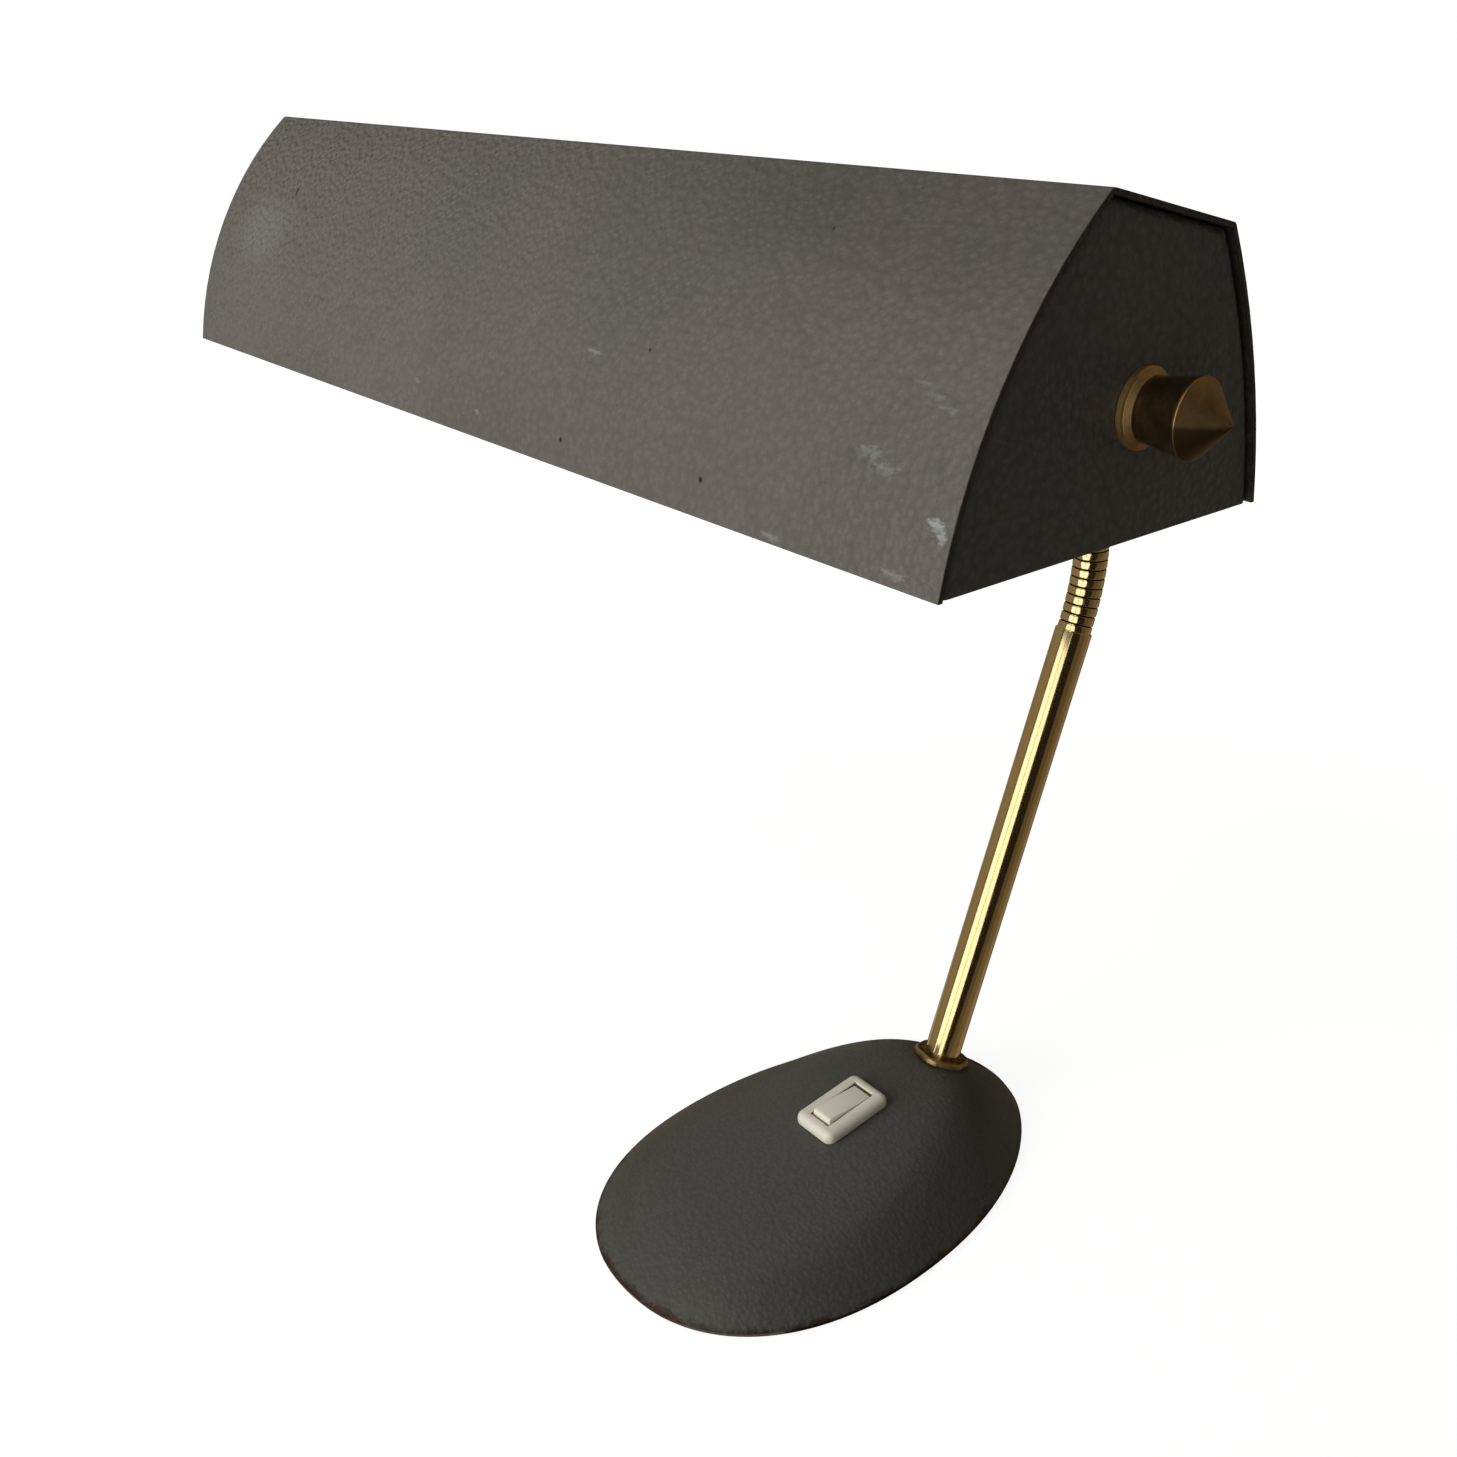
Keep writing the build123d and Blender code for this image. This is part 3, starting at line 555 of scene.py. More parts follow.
def basePaint():
    look, tree, shader, place, colour = hammerPaint(
        "baseHammerPaint", baseWearAndLight["relief"], baseWearAndLight["mottle"], tone=baseWearAndLight["tone"])
    # painted light: up-facing faces lightened as if lit from above, with dust
    upright = addNode(tree, "ShaderNodeSeparateXYZ")
    tree.links.new(addNode(tree, "ShaderNodeTexCoord").outputs["Normal"], upright.inputs[0])
    dustAndTopLightMask = spread(tree, upright.outputs[2], *baseWearAndLight["dustAndTopLightSlope"])
    colour = mixColour(tree, dustAndTopLightMask, colour, baseWearAndLight["dustAndTopLight"], "MULTIPLY")
    # the spots darken the paint: dirt with painted shade
    for middle, reach, strength in baseWearAndLight["dirtAndShadeSpots"]:
        spot = placedMark(tree, place, middle, reach, **baseWearAndLight["dirtAndShadeEdge"])
        colour = mixColour(tree, partOf(tree, spot, strength), colour, baseWearAndLight["dirtAndShadeTint"])
    split = addNode(tree, "ShaderNodeSeparateXYZ")
    tree.links.new(place, split.inputs[0])
    ragged = noiseAt(tree, place, baseWearAndLight["rustScale"], 5.0, 0.7)
    level = mathStep(tree, "MULTIPLY_ADD", ragged, baseWearAndLight["rustWander"] * mm, split.outputs[2])
    low = spread(tree, level, *scaled(baseWearAndLight["rustLine"], mm), 1.0, 0.0)
    flakes = noiseAt(tree, place, baseWearAndLight["bareScale"], 3.0)
    tint = mixColour(tree, flakes, baseWearAndLight["bare"], baseWearAndLight["rust"])
    colour = mixColour(tree, low, colour, tint)
    tree.links.new(colour, shader.inputs["Base Color"])
    return look


tarnishAndShade = {"pits": 0.35, "paintedShadeBelow": (-0.9, 0.3), "paintedShadeShare": 0.8, "paintedShadeDark": 0.3, "depth": 0.0001}


def brass(name, colour, dark, roughness, cloud, scratch, edge, bump, dulling=0.12, paintedShadeBelow=None):
    # edge is where the clouds turn dark; the last argument is a height in mm, under which the colour is
    # painted dark as painted shade
    look, tree, shader, place = newLook(name, roughness, 1.0)
    patina = useGroup(tree, patinaGroup, Place=place, Cloud=cloud, Scratch=scratch)
    clouds = patina.outputs["Clouds"]
    tint = mixColour(tree, spread(tree, clouds, *edge), colour, dark)
    tint = mixColour(tree, partOf(tree, patina.outputs["Pits"], tarnishAndShade["pits"]), tint, dark)
    # painted shade: all below the given height darkened
    if paintedShadeBelow:
        split = addNode(tree, "ShaderNodeSeparateXYZ")
        tree.links.new(place, split.inputs[0])
        low, high = [(paintedShadeBelow + step) * mm for step in tarnishAndShade["paintedShadeBelow"]]
        under = spread(tree, split.outputs[2], low, high, tarnishAndShade["paintedShadeShare"], 0.0)
        tint = mixColour(tree, under, tint, scaled(dark, tarnishAndShade["paintedShadeDark"]))
    tree.links.new(tint, shader.inputs["Base Color"])
    dull = spread(tree, clouds, 0.25, 0.75, roughness, roughness + dulling)
    tree.links.new(dull, shader.inputs["Roughness"])
    bumpInto(tree, shader, patina.outputs["Lines"], bump, tarnishAndShade["depth"])
    return look


def plainLook(name, colour, second, roughness, scale, metallic=0.0, bump=0.1, depth=0.0002, **sockets):
    look, tree, shader, place = newLook(name, roughness, metallic, **sockets)
    grain = noiseAt(tree, place, scale, 4.0, 0.6)
    tint = mixColour(tree, spread(tree, grain, 0.35, 0.7), colour, second)
    tree.links.new(tint, shader.inputs["Base Color"])
    dull = spread(tree, grain, 0.3, 0.7, roughness * 0.88, roughness * 1.12)
    tree.links.new(dull, shader.inputs["Roughness"])
    bumpInto(tree, shader, grain, bump, depth)
    return look


shadePaint = hammerPaint("shadeHammerPaint", (0.75, 2.1), 1.2, shadeMarks, shadeChips, inner="sheet")[0]
# the end panels' paint is tinted cooler and greener than the sheet's: a painted shade tint
panelPaint = hammerPaint("panelHammerPaint", (1.1, 1.1), 0.6, inner="panel", tone=(0.95, 1.06, 1.13))[0]
baseFinish = basePaint()
lathe = (2600.0, 120.0, 120.0)  # scratches per metre on a piece turned about X
evenly = (500.0, 500.0, 500.0)
tubeBrass = brass(
    "polishedTubeBrass", (0.88, 0.72, 0.42), (0.74, 0.56, 0.30), 0.10, 45.0, (700.0, 700.0, 12.0),
    (0.5, 0.85), 0.01, dulling=0.05)
hoseBrass = brass(
    "polishedHoseBrass", (0.88, 0.72, 0.43), (0.66, 0.50, 0.28), 0.10, 70.0, (300.0, 300.0, 300.0),
    (0.48, 0.8), 0.02)
# near-black brass for the hose grooves: painted shade in the grooves, with tarnish
grooveShadeBrass = plainLook("hoseGrooveShadeAndTarnish", (0.012, 0.008, 0.003), (0.03, 0.02, 0.008), 0.6, 300.0, 1.0)
knobBrass = brass(
    "agedKnobBrass", (0.60, 0.42, 0.205), (0.42, 0.295, 0.145), 0.42, 150.0, lathe, (0.38, 0.66), 0.12)
# painted shade: the cone darkened below the pivot line
coneBrass = brass(
    "agedConeBrass", (0.45, 0.30, 0.145), (0.26, 0.175, 0.085), 0.36, 150.0, lathe, (0.38, 0.66), 0.12,
    paintedShadeBelow=pivotLine["z"])
barrelBrass = brass(
    "darkBarrelBrass", (0.26, 0.18, 0.09), (0.105, 0.073, 0.042), 0.34, 190.0, lathe, (0.36, 0.62), 0.15)
footBrass = brass(
    "darkFootBrass", (0.30, 0.19, 0.075), (0.05, 0.033, 0.016), 0.36, 190.0, evenly, (0.36, 0.6), 0.2)
# brighter copy of the foot's brass for its bevels: rubbed brass with a painted highlight
rubbedHighlightBrass = brass(
    "rubbedFootEdgeHighlight", (0.50, 0.365, 0.185), (0.26, 0.18, 0.085), 0.36, 240.0, evenly, (0.46, 0.72), 0.1)
ivory = plainLook("agedIvoryPlastic", (0.86, 0.82, 0.69), (0.80, 0.75, 0.61), 0.36, 60.0, 0.0, 0.04)
# a paler copy of the ivory for the rocker: painted light on it
rockerIvoryLit = plainLook("rockerIvoryPlasticLit", (0.93, 0.88, 0.74), (0.88, 0.82, 0.67), 0.34, 60.0, 0.0, 0.04)
# dark colour for the bezel's window walls: grime with painted shade in the gap
ivoryGapGrimeAndShade = plainLook("switchGapGrimeAndShade", (0.20, 0.145, 0.095), (0.11, 0.08, 0.05), 0.6, 300.0)
phenolic = plainLook("blackPhenolic", (0.018, 0.016, 0.015), (0.03, 0.027, 0.025), 0.38, 240.0, 0.0, 0.06)
zincSteel = plainLook("dullZincSteel", (0.46, 0.46, 0.45), (0.33, 0.33, 0.32), 0.4, 160.0, 1.0, 0.1)
ironCast = plainLook("roughCastIron", (0.05, 0.048, 0.046), (0.03, 0.026, 0.024), 0.75, 300.0, 0.3, 0.6)
strapEnamel = plainLook("strapEnamel", (0.72, 0.71, 0.66), (0.66, 0.64, 0.58), 0.42, 40.0, 0.0, 0.08)
greenFelt = plainLook(
    "greenFelt", (0.022, 0.055, 0.03), (0.012, 0.034, 0.018), 0.95, 1600.0, 0.0, 0.8, 0.0004)
blackRubber = plainLook("blackRubber", (0.014, 0.014, 0.014), (0.022, 0.021, 0.02), 0.62, 400.0, 0.0, 0.2)
redFibre = plainLook("redFibre", (0.19, 0.04, 0.025), (0.13, 0.028, 0.018), 0.7, 500.0, 0.0, 0.2)
sleeveBraid = plainLook("sleeveBraid", (0.55, 0.52, 0.44), (0.40, 0.37, 0.30), 0.8, 1400.0, 0.0, 0.6)
frostedGlass = plainLook(
    "frostedBulbGlass", (0.93, 0.92, 0.90), (0.90, 0.89, 0.86), 0.32, 90.0, 0.0, 0.05,
    Transmission_Weight=0.35)
print("finishes mixed:", len(bpy.data.materials))

nodeFinish = {
    "base_shell": baseFinish, "base_weight": ironCast, "base_plate": zincSteel,
    "base_plate_screws": zincSteel, "felt_pad": greenFelt, "cord_grommet": blackRubber,
    "switch_bezel": ivory, "switch_rocker": ivory, "switch_body": phenolic, "switch_terminals": knobBrass,
    "riser_tube": tubeBrass, "riser_nipple": tubeBrass, "foot_washer": footBrass,
    "lock_washer": zincSteel, "riser_nut": zincSteel, "gooseneck_lower": hoseBrass,
    "gooseneck_upper": hoseBrass, "gooseneck_ferrule": tubeBrass, "head_washer": zincSteel,
    "head_nut": zincSteel, "lamp_bracket": strapEnamel, "holder_screws": zincSteel,
    "shade_sheet": shadePaint,
}
pairFinish = {
    "end_panel": panelPaint, "knob_collar": knobBrass, "knob": knobBrass, "pivot_stud": zincSteel,
    "friction_washer": redFibre, "lampholder": phenolic, "bulb_cap": footBrass, "bulb_glass": frostedGlass,
    "holder_lead": sleeveBraid,
}
for hand in ("left", "right"):
    for key, finish in pairFinish.items():
        nodeFinish[hand + "_" + key] = finish
for key, finish in nodeFinish.items():
    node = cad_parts[key]
    if not node.material_slots:
        node.data.materials.append(finish)
    for holder in node.material_slots:
        holder.material = finish
print("solids painted:", len(nodeFinish))


# gooseneck: one rib, repeated and laid along its bowed line

hose = {
    "pitch": 3.43, "root": 5.5, "crest": 6.1, "segments": 40,
    "rib": [(0.0, 0.0), (0.13, 0.0), (0.14, 0.72), (0.18, 0.92), (0.25, 1.0), (0.87, 1.0), (0.94, 0.92),
            (0.99, 0.72), (1.0, 0.0)],
    "band": (0.14, 0.99),
    "socket": 8.0, "stub": 4.0, "lowerRadius": 75.0, "middleAngle": 40.0, "middleRun": 24.0, "endY": -23.0,
    "fineness": 48, "merge": 0.01, "shadeAngle": 50,
}


def hoseLine():
    # corners of the line as (y, z, lean in radians), lean counted forwards from upright
    lean = -radians(stem["lean"])
    turn = radians(hose["middleAngle"])
    reach = stem["length"] - hose["socket"]
    y = stem["foot"][0] - reach * sin(lean)
    z = stem["foot"][1] + reach * cos(lean)
    line = [(y, z, lean)]
    straight = hose["socket"] + hose["stub"]
    y, z = y - straight * sin(lean), z + straight * cos(lean)
    line.append((y, z, lean))
    y -= hose["lowerRadius"] * (cos(lean) - cos(turn))
    z += hose["lowerRadius"] * (sin(turn) - sin(lean))
    line.append((y, z, turn))
    half = hose["middleRun"] / 2
    for run in (half, half):
        y, z = y - run * sin(turn), z + run * cos(turn)
        line.append((y, z, turn))
    upperRadius = (pivotLine["z"] - z) / (1 - sin(turn))
    y, z = y - upperRadius * cos(turn), pivotLine["z"]
    line.append((y, z, radians(90)))
    line.append((hose["endY"], z, radians(90)))
    return line, upperRadius


def layPath(name, corners):
    # bezier line through the corners, its handles set for true arcs
    clearSelection()
    curve = bpy.data.curves.new(name, "CURVE")
    curve.dimensions = "3D"
    curve.resolution_u = hose["fineness"]
    spline = curve.splines.new("BEZIER")
    spline.bezier_points.add(len(corners) - 1)
    total = 0.0
    for index, (y, z, lean) in enumerate(corners):
        point = spline.bezier_points[index]
        point.co = (0, y * mm, z * mm)
        point.handle_left_type = point.handle_right_type = "FREE"
        point.handle_left = point.handle_right = point.co
    for index in range(len(corners) - 1):
        y0, z0, lean0 = corners[index]
        y1, z1, lean1 = corners[index + 1]
        chord = ((y1 - y0) ** 2 + (z1 - z0) ** 2) ** 0.5
        turn = lean1 - lean0
        if abs(turn) > 0.01:
            radius = chord / (2 * sin(turn / 2))
            hold = 4 / 3 * tan(turn / 4) * radius
            total += radius * turn
        else:
            hold = chord / 3
            total += chord
        first, second = spline.bezier_points[index], spline.bezier_points[index + 1]
        first.handle_right = (0, (y0 - hold * sin(lean0)) * mm, (z0 + hold * cos(lean0)) * mm)
        second.handle_left = (0, (y1 + hold * sin(lean1)) * mm, (z1 - hold * cos(lean1)) * mm)
    path = bpy.data.objects.new(name, curve)
    bpy.context.collection.objects.link(path)
    return path, total


def ribbedHose(name, corners):
    path, total = layPath(name + "Path", corners)
    count = round(total / hose["pitch"])
    pitch = total / count
    swell = hose["crest"] - hose["root"]
    steps = [(along * pitch, hose["root"] + high * swell) for along, high in hose["rib"]]
    piece = turned(name, steps, hose["segments"])
    piece.rotation_euler = (0, radians(90), 0)
    settle(piece)
    piece.data.materials.append(hoseBrass)
    piece.data.materials.append(grooveShadeBrass)
    start, end = [share * pitch * mm for share in hose["band"]]
    # faces outside the band take the groove colour: painted shade in the grooves, with tarnish
    for face in piece.data.polygons:
        if not start < face.center.x < end:
            face.material_index = 1
    useModifier(
        piece, "ARRAY", count=count, use_relative_offset=False, use_constant_offset=True,
        constant_offset_displace=(pitch * mm, 0, 0), use_merge_vertices=True,
        merge_threshold=hose["merge"] * mm)
    takeHold(piece)
    bpy.ops.object.mode_set(mode="EDIT")
    bpy.ops.mesh.select_mode(type="EDGE")
    bpy.ops.mesh.select_all(action="DESELECT")
    bpy.ops.mesh.select_non_manifold()
    bpy.ops.mesh.fill_holes(sides=0)
    bpy.ops.mesh.select_all(action="SELECT")
    bpy.ops.mesh.normals_make_consistent(inside=False)
    bpy.ops.object.mode_set(mode="OBJECT")
    useModifier(piece, "CURVE", object=path, deform_axis="POS_X")
    bpy.data.objects.remove(path)
    smoothShade(piece, hose["shadeAngle"])
    return piece


hoseCorners, upperRadius = hoseLine()
for name, first, last, bodies, node in (
        ("gooseneckLowerRibs", 0, 3, ("base", "gooseneck"), "gooseneck_lower"),
        ("gooseneckUpperRibs", 3, 6, ("gooseneck", "head"), "gooseneck_upper")):
    corners = hoseCorners[first:last + 1]
    ribs = ribbedHose(name, corners)
    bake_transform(ribs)
    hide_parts(node)
print("gooseneck laid, upper radius", round(upperRadius, 1))


# tube, foot and ferrule

tubeShape = {
    "outside": [(0.0, 6.2), (0.0, 6.6), (0.1, 6.7), (169.15, 6.7), (169.32, 6.66), (169.45, 6.57),
                (169.53, 6.45), (169.57, 6.3), (169.57, 6.2), (0.0, 6.2)],
    "ferrule": [(0.0, 6.2), (0.0, 6.9), (0.22, 7.35), (0.8, 7.6), (14.2, 7.6), (14.78, 7.35), (15.0, 6.9),
                (15.0, 5.0), (42.25, 5.0), (42.25, 3.5), (8.0, 3.5), (8.0, 6.2), (0.0, 6.2)],
}
footShape = {
    "radius": 11.5, "thick": 2.0, "hole": 5.1, "corner": 3.0, "chamfer": 0.9, "turn": 15.0,
    # those faces are painted bright: rubbed, and a painted highlight
    "cutter": 20.0, "flat": 0.97,  # faces leaning more than flat are rubbed bright
}


def makeTube():
    tube = turned("stemTube", tubeShape["outside"], 96)
    leanWithTube(tube)
    smoothShade(tube, 40)
    dress(tube, "base", [tubeBrass], "riser_tube")


def makeFerrule():
    sleeve = turned("gooseneckSleeve", tubeShape["ferrule"], 80)
    sleeve.rotation_euler = (radians(90), 0, 0)
    sleeve.location = (0, (hose["endY"] + hose["socket"]) * mm, pivotLine["z"] * mm)
    settle(sleeve)
    smoothShade(sleeve, 35)
    dress(sleeve, "head", [tubeBrass], "gooseneck_ferrule")


def makeFoot():
    # six-sided washer: blank, softened corners, bevels round its top painted bright as rubbed brass with a
    # painted highlight, and the hole
    clearSelection()
    thick = footShape["thick"]
    bpy.ops.mesh.primitive_cylinder_add(
        vertices=6, radius=footShape["radius"] * mm, depth=thick * mm, location=(0, 0, -thick / 2 * mm),
        rotation=(0, 0, radians(footShape["turn"])))
    foot = bpy.context.object
    foot.name = "footWasher"
    settle(foot)
    bevelWhere(foot, standing, footShape["corner"], 5)
    bevelWhere(foot, lambda middle, run: middle.z > -0.01, footShape["chamfer"], 3)
    clearSelection()
    bpy.ops.mesh.primitive_cylinder_add(
        vertices=64, radius=footShape["hole"] * mm, depth=footShape["cutter"] * mm)
    cutWith(foot, bpy.context.object)
    leanWithTube(foot)
    smoothShade(foot, 40)
    dress(foot, "base", [footBrass, rubbedHighlightBrass], "foot_washer")
    lean = radians(stem["lean"])
    upTube = Vector((0, sin(lean), cos(lean)))
    # faces other than the flat top and bottom take the bright brass: rubbed, and a painted highlight
    for face in foot.data.polygons:
        if abs(face.normal.dot(upTube)) < footShape["flat"]:
            face.material_index = 1


makeTube()
makeFerrule()
makeFoot()
print("tube, ferrule and foot made")


# switch: bezel with a window, and the rocker tilted in it

switchShape = {
    "bezel": (18.5, 30.6, 4.3), "corner": 3.2, "pillow": 2.6, "rim": 0.45,
    "window": (9.2, 22.4), "windowCorner": 0.6, "wallSlack": 0.02,
    "rocker": (8.5, 21.0), "top": 3.2, "bottom": -3.2, "nose": 1.0, "heel": 0.8, "edge": 0.5,
    "pivot": 1.5, "rest": -7.0,
}


def makeBezel():
    wide, long, high = switchShape["bezel"]
    bezel = block("switchBezel", wide, long, 0.0, high)
    bevelWhere(bezel, standing, switchShape["corner"], 7)
    bevelWhere(bezel, lambda middle, run: middle.z > high - 0.01, switchShape["pillow"], 7)
    cutter = block("windowCutter", *switchShape["window"], -1.0, high + 1.0)
    bevelWhere(cutter, standing, switchShape["windowCorner"], 3)
    cutWith(bezel, cutter)
    softenEdges(bezel, switchShape["rim"], 3, 50)
    layOnSwitch(bezel)
    smoothShade(bezel, 40)
    dress(bezel, "base", [ivory, ivoryGapGrimeAndShade], "switch_bezel")
    slope = radians(switch["slope"])
    middle = Vector((0, *switch["place"]))
    alongSlope = Vector((0, cos(slope), sin(slope)))
    halfWide, halfLong = [size / 2 + switchShape["wallSlack"] for size in switchShape["window"]]
    # the window's walls round the rocker take the dark gap colour: grime with painted shade in the gap
    for face in bezel.data.polygons:
        away = face.center / mm - middle
        if abs(away.x) < halfWide and abs(away.dot(alongSlope)) < halfLong:
            face.material_index = 1


def makeRocker():
    wide, long = switchShape["rocker"]
    rocker = block("switchRocker", wide, long, switchShape["bottom"], switchShape["top"])
    nearTop = switchShape["top"] - 0.1
    nearEnd = long / 2 - 1.5
    for way, width in ((-1, switchShape["nose"]), (1, switchShape["heel"])):
        bevelWhere(rocker, lambda middle, run: middle.z > nearTop and middle.y * way > nearEnd, width, 3)
    softenEdges(rocker, switchShape["edge"], 3, 30)
    layOnSwitch(rocker, switchShape["pivot"], switchShape["rest"])
    smoothShade(rocker, 40)
    dress(rocker, "rocker", [rockerIvoryLit], "switch_rocker")


makeBezel()
makeRocker()
print("switch made")


# cord inlet: a rubber bush cut off level with the base's flank

bush = {
    "bore": 2.4, "radius": 3.6, "start": 76.0, "end": 92.0, "height": 7.4,
    "flank": (83.05, 7.4), "slope": 40.36, "sunk": 0.2, "lip": 0.25, "trim": (20.0, 40.0, 0.0, 20.0),
}


def makeBush():
    start, end, bore, radius = bush["start"], bush["end"], bush["bore"], bush["radius"]
    ring = [(start, bore), (start, radius), (end, radius), (end, bore), (start, bore)]
    inlet = turned("cordBush", ring, 48)
    inlet.rotation_euler = (radians(-90), 0, 0)
    inlet.location = (0, 0, bush["height"] * mm)
    settle(inlet)
    trim = block("bushTrim", *bush["trim"])
    slope = radians(bush["slope"])
    y, z = bush["flank"]
    trim.rotation_euler = (-slope, 0, 0)
    trim.location = (0, (y - bush["sunk"] * sin(slope)) * mm, (z - bush["sunk"] * cos(slope)) * mm)
    settle(trim)
    cutWith(inlet, trim)
    softenEdges(inlet, bush["lip"], 2, 40)
    smoothShade(inlet, 40)
    dress(inlet, "base", [blackRubber], "cord_grommet")


makeBush()
print("cord inlet made")


# knobs and collars

knobShape = {
    "collarSeat": 149.3, "collarThick": 2.4, "gap": 0.1,
    "collar": [(0.0, 3.06), (0.0, 7.15), (0.15, 7.3), (1.05, 7.3), (1.2, 7.12), (1.32, 6.9), (1.5, 6.88),
               (2.1, 6.3), (2.4, 6.0), (2.4, 3.06), (0.0, 3.06)],
    "barrel": [(0.0, 3.06), (0.0, 5.5), (0.25, 5.75), (8.5, 7.08), (8.75, 7.17), (8.9, 7.2)],
    "cone": [(9.05, 7.12), (9.2, 6.95), (15.45, 0.32), (15.7, 0.0)],
    "bore": [(8.05, pointed), (8.05, 3.06)],
}
for hand, side in (("left", -1), ("right", 1)):
    collar = turned(hand + "Collar", knobShape["collar"], 72)
    layAlongX(collar, side, knobShape["collarSeat"])
    smoothShade(collar, 25)
    dress(collar, "shade", [knobBrass], hand + "_knob_collar")
    grip = turned(hand + "Knob", knobShape["bore"] + knobShape["barrel"] + knobShape["cone"], 96)
    seat = knobShape["collarSeat"] + knobShape["collarThick"] + knobShape["gap"]
    layAlongX(grip, side, seat)
    smoothShade(grip, 20)
    dress(grip, "knob_" + hand, [barrelBrass, coneBrass], hand + "_knob")
    for face in grip.data.polygons:
        if abs(face.center.x) > (seat + knobShape["barrel"][-3][0]) * mm:
            face.material_index = 1
print("knobs turned")


# lampholders, caps and bulbs

lampShape = {
    "holderSeat": 11.75, "capSeat": 30.25, "glassSeat": 51.25,
    "ribs": 6, "ribStart": 17.0, "ribPitch": 3.2, "ribDeep": 0.6,
    "rear": 11.0, "skirt": 13.0, "step": 14.0, "length": 40.0, "bore": 7.2, "boreDepth": 22.0,
    "entry": 2.5, "entryDepth": 6.0,
    "capRadius": 6.9, "capLength": 21.0,
    "threads": 5, "threadStart": 4.2, "threadPitch": 2.6, "threadDeep": 0.55,
    "glass": [(0.0, pointed), (0.0, 5.6), (0.0, 6.6), (3.0, 7.9), (6.0, 10.2), (9.0, 12.0), (11.0, 12.45),
              (13.0, 12.5), (61.5, 12.5), (65.8, 11.75), (69.6, 9.65), (72.4, 6.2), (73.7, 2.8),
              (74.0, 0.0)],
}


def holderLine():
    shape = lampShape
    rear, skirt, step = shape["rear"], shape["skirt"], shape["step"]
    length, bore = shape["length"], shape["bore"]
    line = [(shape["entryDepth"], pointed), (shape["entryDepth"], shape["entry"]), (0.0, shape["entry"])]
    line += [(0.0, rear - 0.5), (0.5, rear), (step - 0.4, rear), (step, rear + 0.4)]
    line += [(step, skirt - 0.5), (step + 0.5, skirt)]
    for rib in range(shape["ribs"]):
        at = shape["ribStart"] + rib * shape["ribPitch"]
        floor = skirt - shape["ribDeep"]
        line += [(at, skirt), (at + 0.5, floor), (at + 1.0, floor), (at + 1.5, skirt)]
    line += [(length - 1.5, skirt), (length - 0.4, skirt - 0.8), (length, skirt - 1.5)]
    inside = length - shape["boreDepth"]
    return line + [(length, bore + 0.4), (length - 0.4, bore), (inside, bore), (inside, 0.0)]


def capLine():
    shape = lampShape
    high, end = shape["capRadius"], shape["capLength"]
    low = high - shape["threadDeep"]
    line = [(0.0, pointed), (0.0, 2.2), (0.3, 2.5), (2.5, 4.0), (3.5, low)]
    for turn in range(shape["threads"]):
        at = shape["threadStart"] + turn * shape["threadPitch"]
        line += [(at, low), (at + 0.7, high), (at + 1.2, high), (at + 1.9, low)]
    return line + [(end - 2.5, low), (end - 2.0, high - 0.2), (end, high - 0.1), (end, 0.0)]


for hand, side in (("left", -1), ("right", 1)):
    for key, seat, line, slotName, look in (
            ("lampholder", "holderSeat", holderLine(), "black_plastic", phenolic),
            ("bulb_cap", "capSeat", capLine(), "dull_brass", footBrass),
            ("bulb_glass", "glassSeat", lampShape["glass"], "bulb_glass", frostedGlass)):
        made = turned(hand + key.title().replace("_", ""), line, 72)
        layAlongX(made, side, lampShape[seat])
        smoothShade(made, 32)
        dress(made, "head", [look], hand + "_" + key)
print("lampholders and bulbs made")


# camera, floor and light

photoView = {
    "place": (0.29645, -0.29264, 0.37553), "down": 25.275, "turn": 50.15, "lens": 36.05, "sensor": 36.0,
}
studio = {
    "floorSize": 8.0, "floorDrop": 0.0002, "floorColour": (0.26, 0.25, 0.24),
    "floorGlow": 0.9, "glowReach": (0.25, 0.9), "worldFill": 0.113,
    "key": {"place": (-0.22, -1.35, 0.62), "size": (1.0, 1.2), "power": 19.0, "tint": (1.0, 1.0, 1.0)},
    "side": {"place": (0.88, -0.92, 0.30), "size": (0.62, 0.5), "power": 0.75, "tint": (1.0, 0.93, 0.82)},
    "rim": {"place": (-0.9, 0.9, 1.2), "size": (0.8, 0.8), "power": 2.5, "tint": (1.0, 1.0, 1.0)},
    "aim": (0.0, 0.03, 0.3), "drapeRadius": 1.8, "drapeHeight": 2.4, "drapeLift": 0.0004,
    # what the drapes show round the room: from an angle in degrees, counted from +X towards +Y
    "drapeTones": [
        (-180, (0.24, 0.185, 0.115)), (-124, (0.12, 0.09, 0.055)), (-114, (1.55, 1.5, 1.3)),
        (-84, (0.55, 0.45, 0.27)), (-79, (1.5, 1.42, 1.2)), (-53, (0.018, 0.014, 0.008)),
        (-2, (0.1, 0.073, 0.04)), (30, (0.15, 0.11, 0.062)), (64, (0.24, 0.185, 0.115)),
        (84, (0.115, 0.084, 0.047)), (128, (0.45, 0.40, 0.30)), (146, (0.20, 0.165, 0.11))],
}


def setCamera():
    lens = bpy.data.cameras.new("photoCamera")
    lens.sensor_fit = "AUTO"
    lens.sensor_width = photoView["sensor"]
    lens.lens = photoView["lens"]
    lens.clip_start = 0.01
    camera = bpy.data.objects.new("photoCamera", lens)
    camera.location = photoView["place"]
    camera.rotation_euler = (radians(90 - photoView["down"]), 0, radians(photoView["turn"]))
    bpy.context.collection.objects.link(camera)
    bpy.context.scene.camera = camera


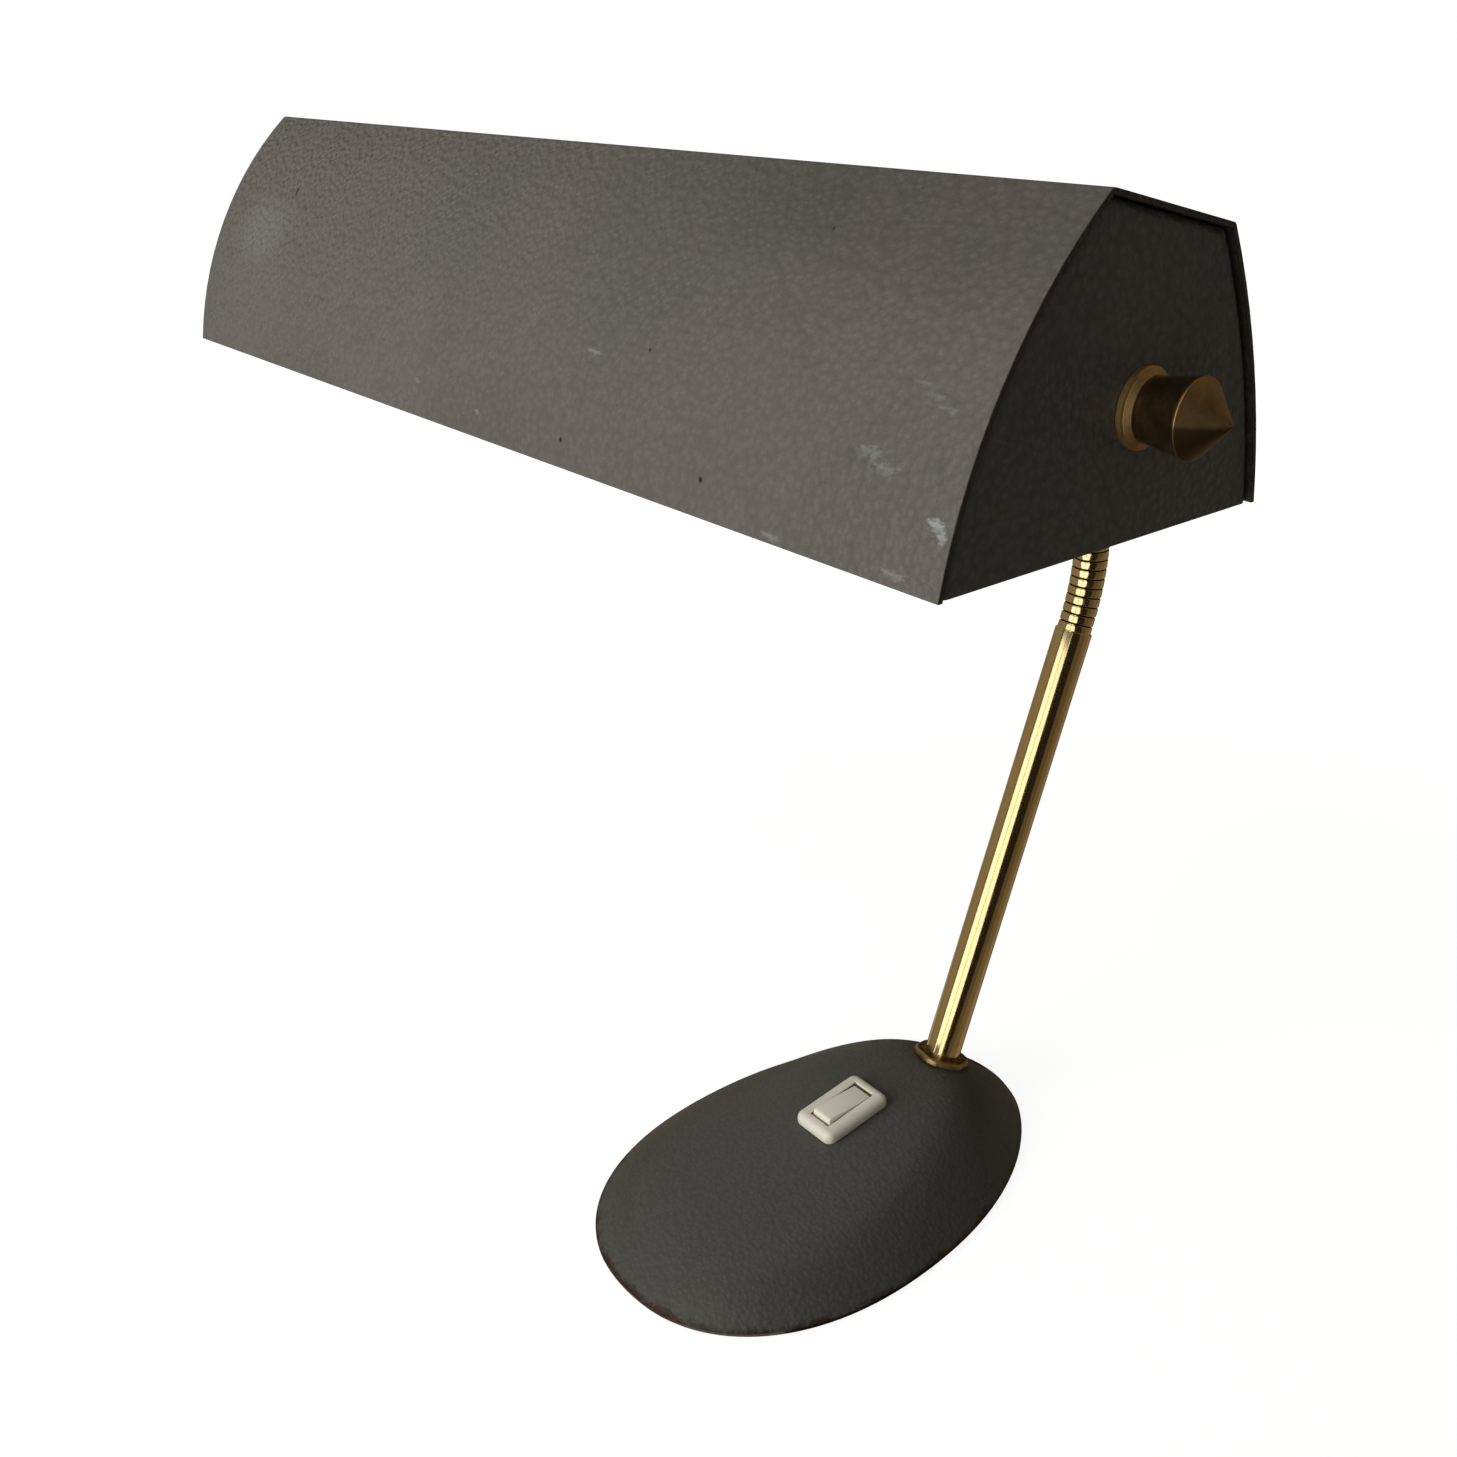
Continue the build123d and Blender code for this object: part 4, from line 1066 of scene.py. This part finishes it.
def whiteForView(tree):
    # 1 for rays that see the background itself or its mirror image
    path = addNode(tree, "ShaderNodeLightPath")
    seen = mathStep(tree, "MAXIMUM", path.outputs["Is Camera Ray"], path.outputs["Is Glossy Ray"])
    return mathStep(tree, "MAXIMUM", seen, path.outputs["Is Transmission Ray"])


def setWorld():
    world = bpy.data.worlds.new("paleRoom")
    bpy.context.scene.world = world
    world.use_nodes = True
    tree = world.node_tree
    back = tree.nodes["Background"]
    back.inputs["Color"].default_value = (1, 1, 1, 1)
    strength = spread(tree, whiteForView(tree), 0.0, 1.0, studio["worldFill"], 1.0)
    tree.links.new(strength, back.inputs["Strength"])


def setFloor():
    clearSelection()
    bpy.ops.mesh.primitive_plane_add(size=studio["floorSize"], location=(0, 0, -studio["floorDrop"]))
    floor = bpy.context.object
    floor.name = "paleFloor"
    look = bpy.data.materials.new("paleFloor")
    look.use_nodes = True
    tree = look.node_tree
    tree.nodes.remove(tree.nodes["Principled BSDF"])
    matt = addNode(tree, "ShaderNodeBsdfDiffuse", {"Color": studio["floorColour"] + (1,)})
    away = addNode(tree, "ShaderNodeVectorMath", operation="LENGTH")
    tree.links.new(addNode(tree, "ShaderNodeTexCoord").outputs["Object"], away.inputs[0])
    glow = addNode(tree, "ShaderNodeEmission")
    bright = spread(tree, away.outputs["Value"], *studio["glowReach"], studio["floorGlow"], 1.0)
    tree.links.new(bright, glow.inputs["Strength"])
    both = addNode(tree, "ShaderNodeAddShader")
    tree.links.new(matt.outputs[0], both.inputs[0])
    tree.links.new(glow.outputs[0], both.inputs[1])
    choose = addNode(tree, "ShaderNodeMixShader")
    tree.links.new(whiteForView(tree), choose.inputs[0])
    tree.links.new(matt.outputs[0], choose.inputs[1])
    tree.links.new(both.outputs[0], choose.inputs[2])
    tree.links.new(choose.outputs[0], tree.nodes["Material Output"].inputs["Surface"])
    floor.data.materials.append(look)


def onlyMirrored(drape):
    drape.visible_camera = drape.visible_diffuse = drape.visible_shadow = False
    drape.visible_transmission = drape.visible_volume_scatter = False


def setDrapes():
    # dark cloths round the set and over its floor, which only polished metal shows
    look = bpy.data.materials.new("darkDrape")
    look.use_nodes = True
    tree = look.node_tree
    tree.nodes.remove(tree.nodes["Principled BSDF"])
    turn = addNode(tree, "ShaderNodeTexGradient", gradient_type="RADIAL")
    tree.links.new(addNode(tree, "ShaderNodeTexCoord").outputs["Object"], turn.inputs[0])
    tones = addNode(tree, "ShaderNodeValToRGB")
    tones.color_ramp.interpolation = "CONSTANT"
    marks = tones.color_ramp.elements
    while len(marks) < len(studio["drapeTones"]):
        marks.new(0.5)
    for mark, (angle, tone) in zip(marks, studio["drapeTones"]):
        mark.position = (angle + 180) / 360
        mark.color = tone + (1,)
    tree.links.new(turn.outputs[0], tones.inputs[0])
    glow = addNode(tree, "ShaderNodeEmission")
    tree.links.new(tones.outputs[0], glow.inputs["Color"])
    tree.links.new(glow.outputs[0], tree.nodes["Material Output"].inputs["Surface"])
    clearSelection()
    high = studio["drapeHeight"]
    bpy.ops.mesh.primitive_cylinder_add(
        vertices=96, radius=studio["drapeRadius"], depth=high, end_fill_type="NGON",
        location=(0, 0, high / 2 + studio["drapeLift"]))
    room = bpy.context.object
    room.name = "darkDrapes"
    settle(room)
    room.data.materials.append(look)
    onlyMirrored(room)


def setLamp(name, values):
    light = bpy.data.lights.new(name, "AREA")
    light.shape = "RECTANGLE"
    light.size, light.size_y = values["size"]
    light.energy = values["power"]
    light.color = values["tint"]
    lamp = bpy.data.objects.new(name, light)
    lamp.location = values["place"]
    aim = Vector(studio["aim"]) - Vector(values["place"])
    lamp.rotation_euler = aim.to_track_quat("-Z", "Y").to_euler()
    lamp.visible_camera = lamp.visible_glossy = False
    bpy.context.collection.objects.link(lamp)


setCamera()
setWorld()
setFloor()
setDrapes()
setLamp("frontWindow", studio["key"])
setLamp("sideWindow", studio["side"])
setLamp("backFill", studio["rim"])
bpy.context.scene.view_settings.view_transform = "Standard"
print("studio set")
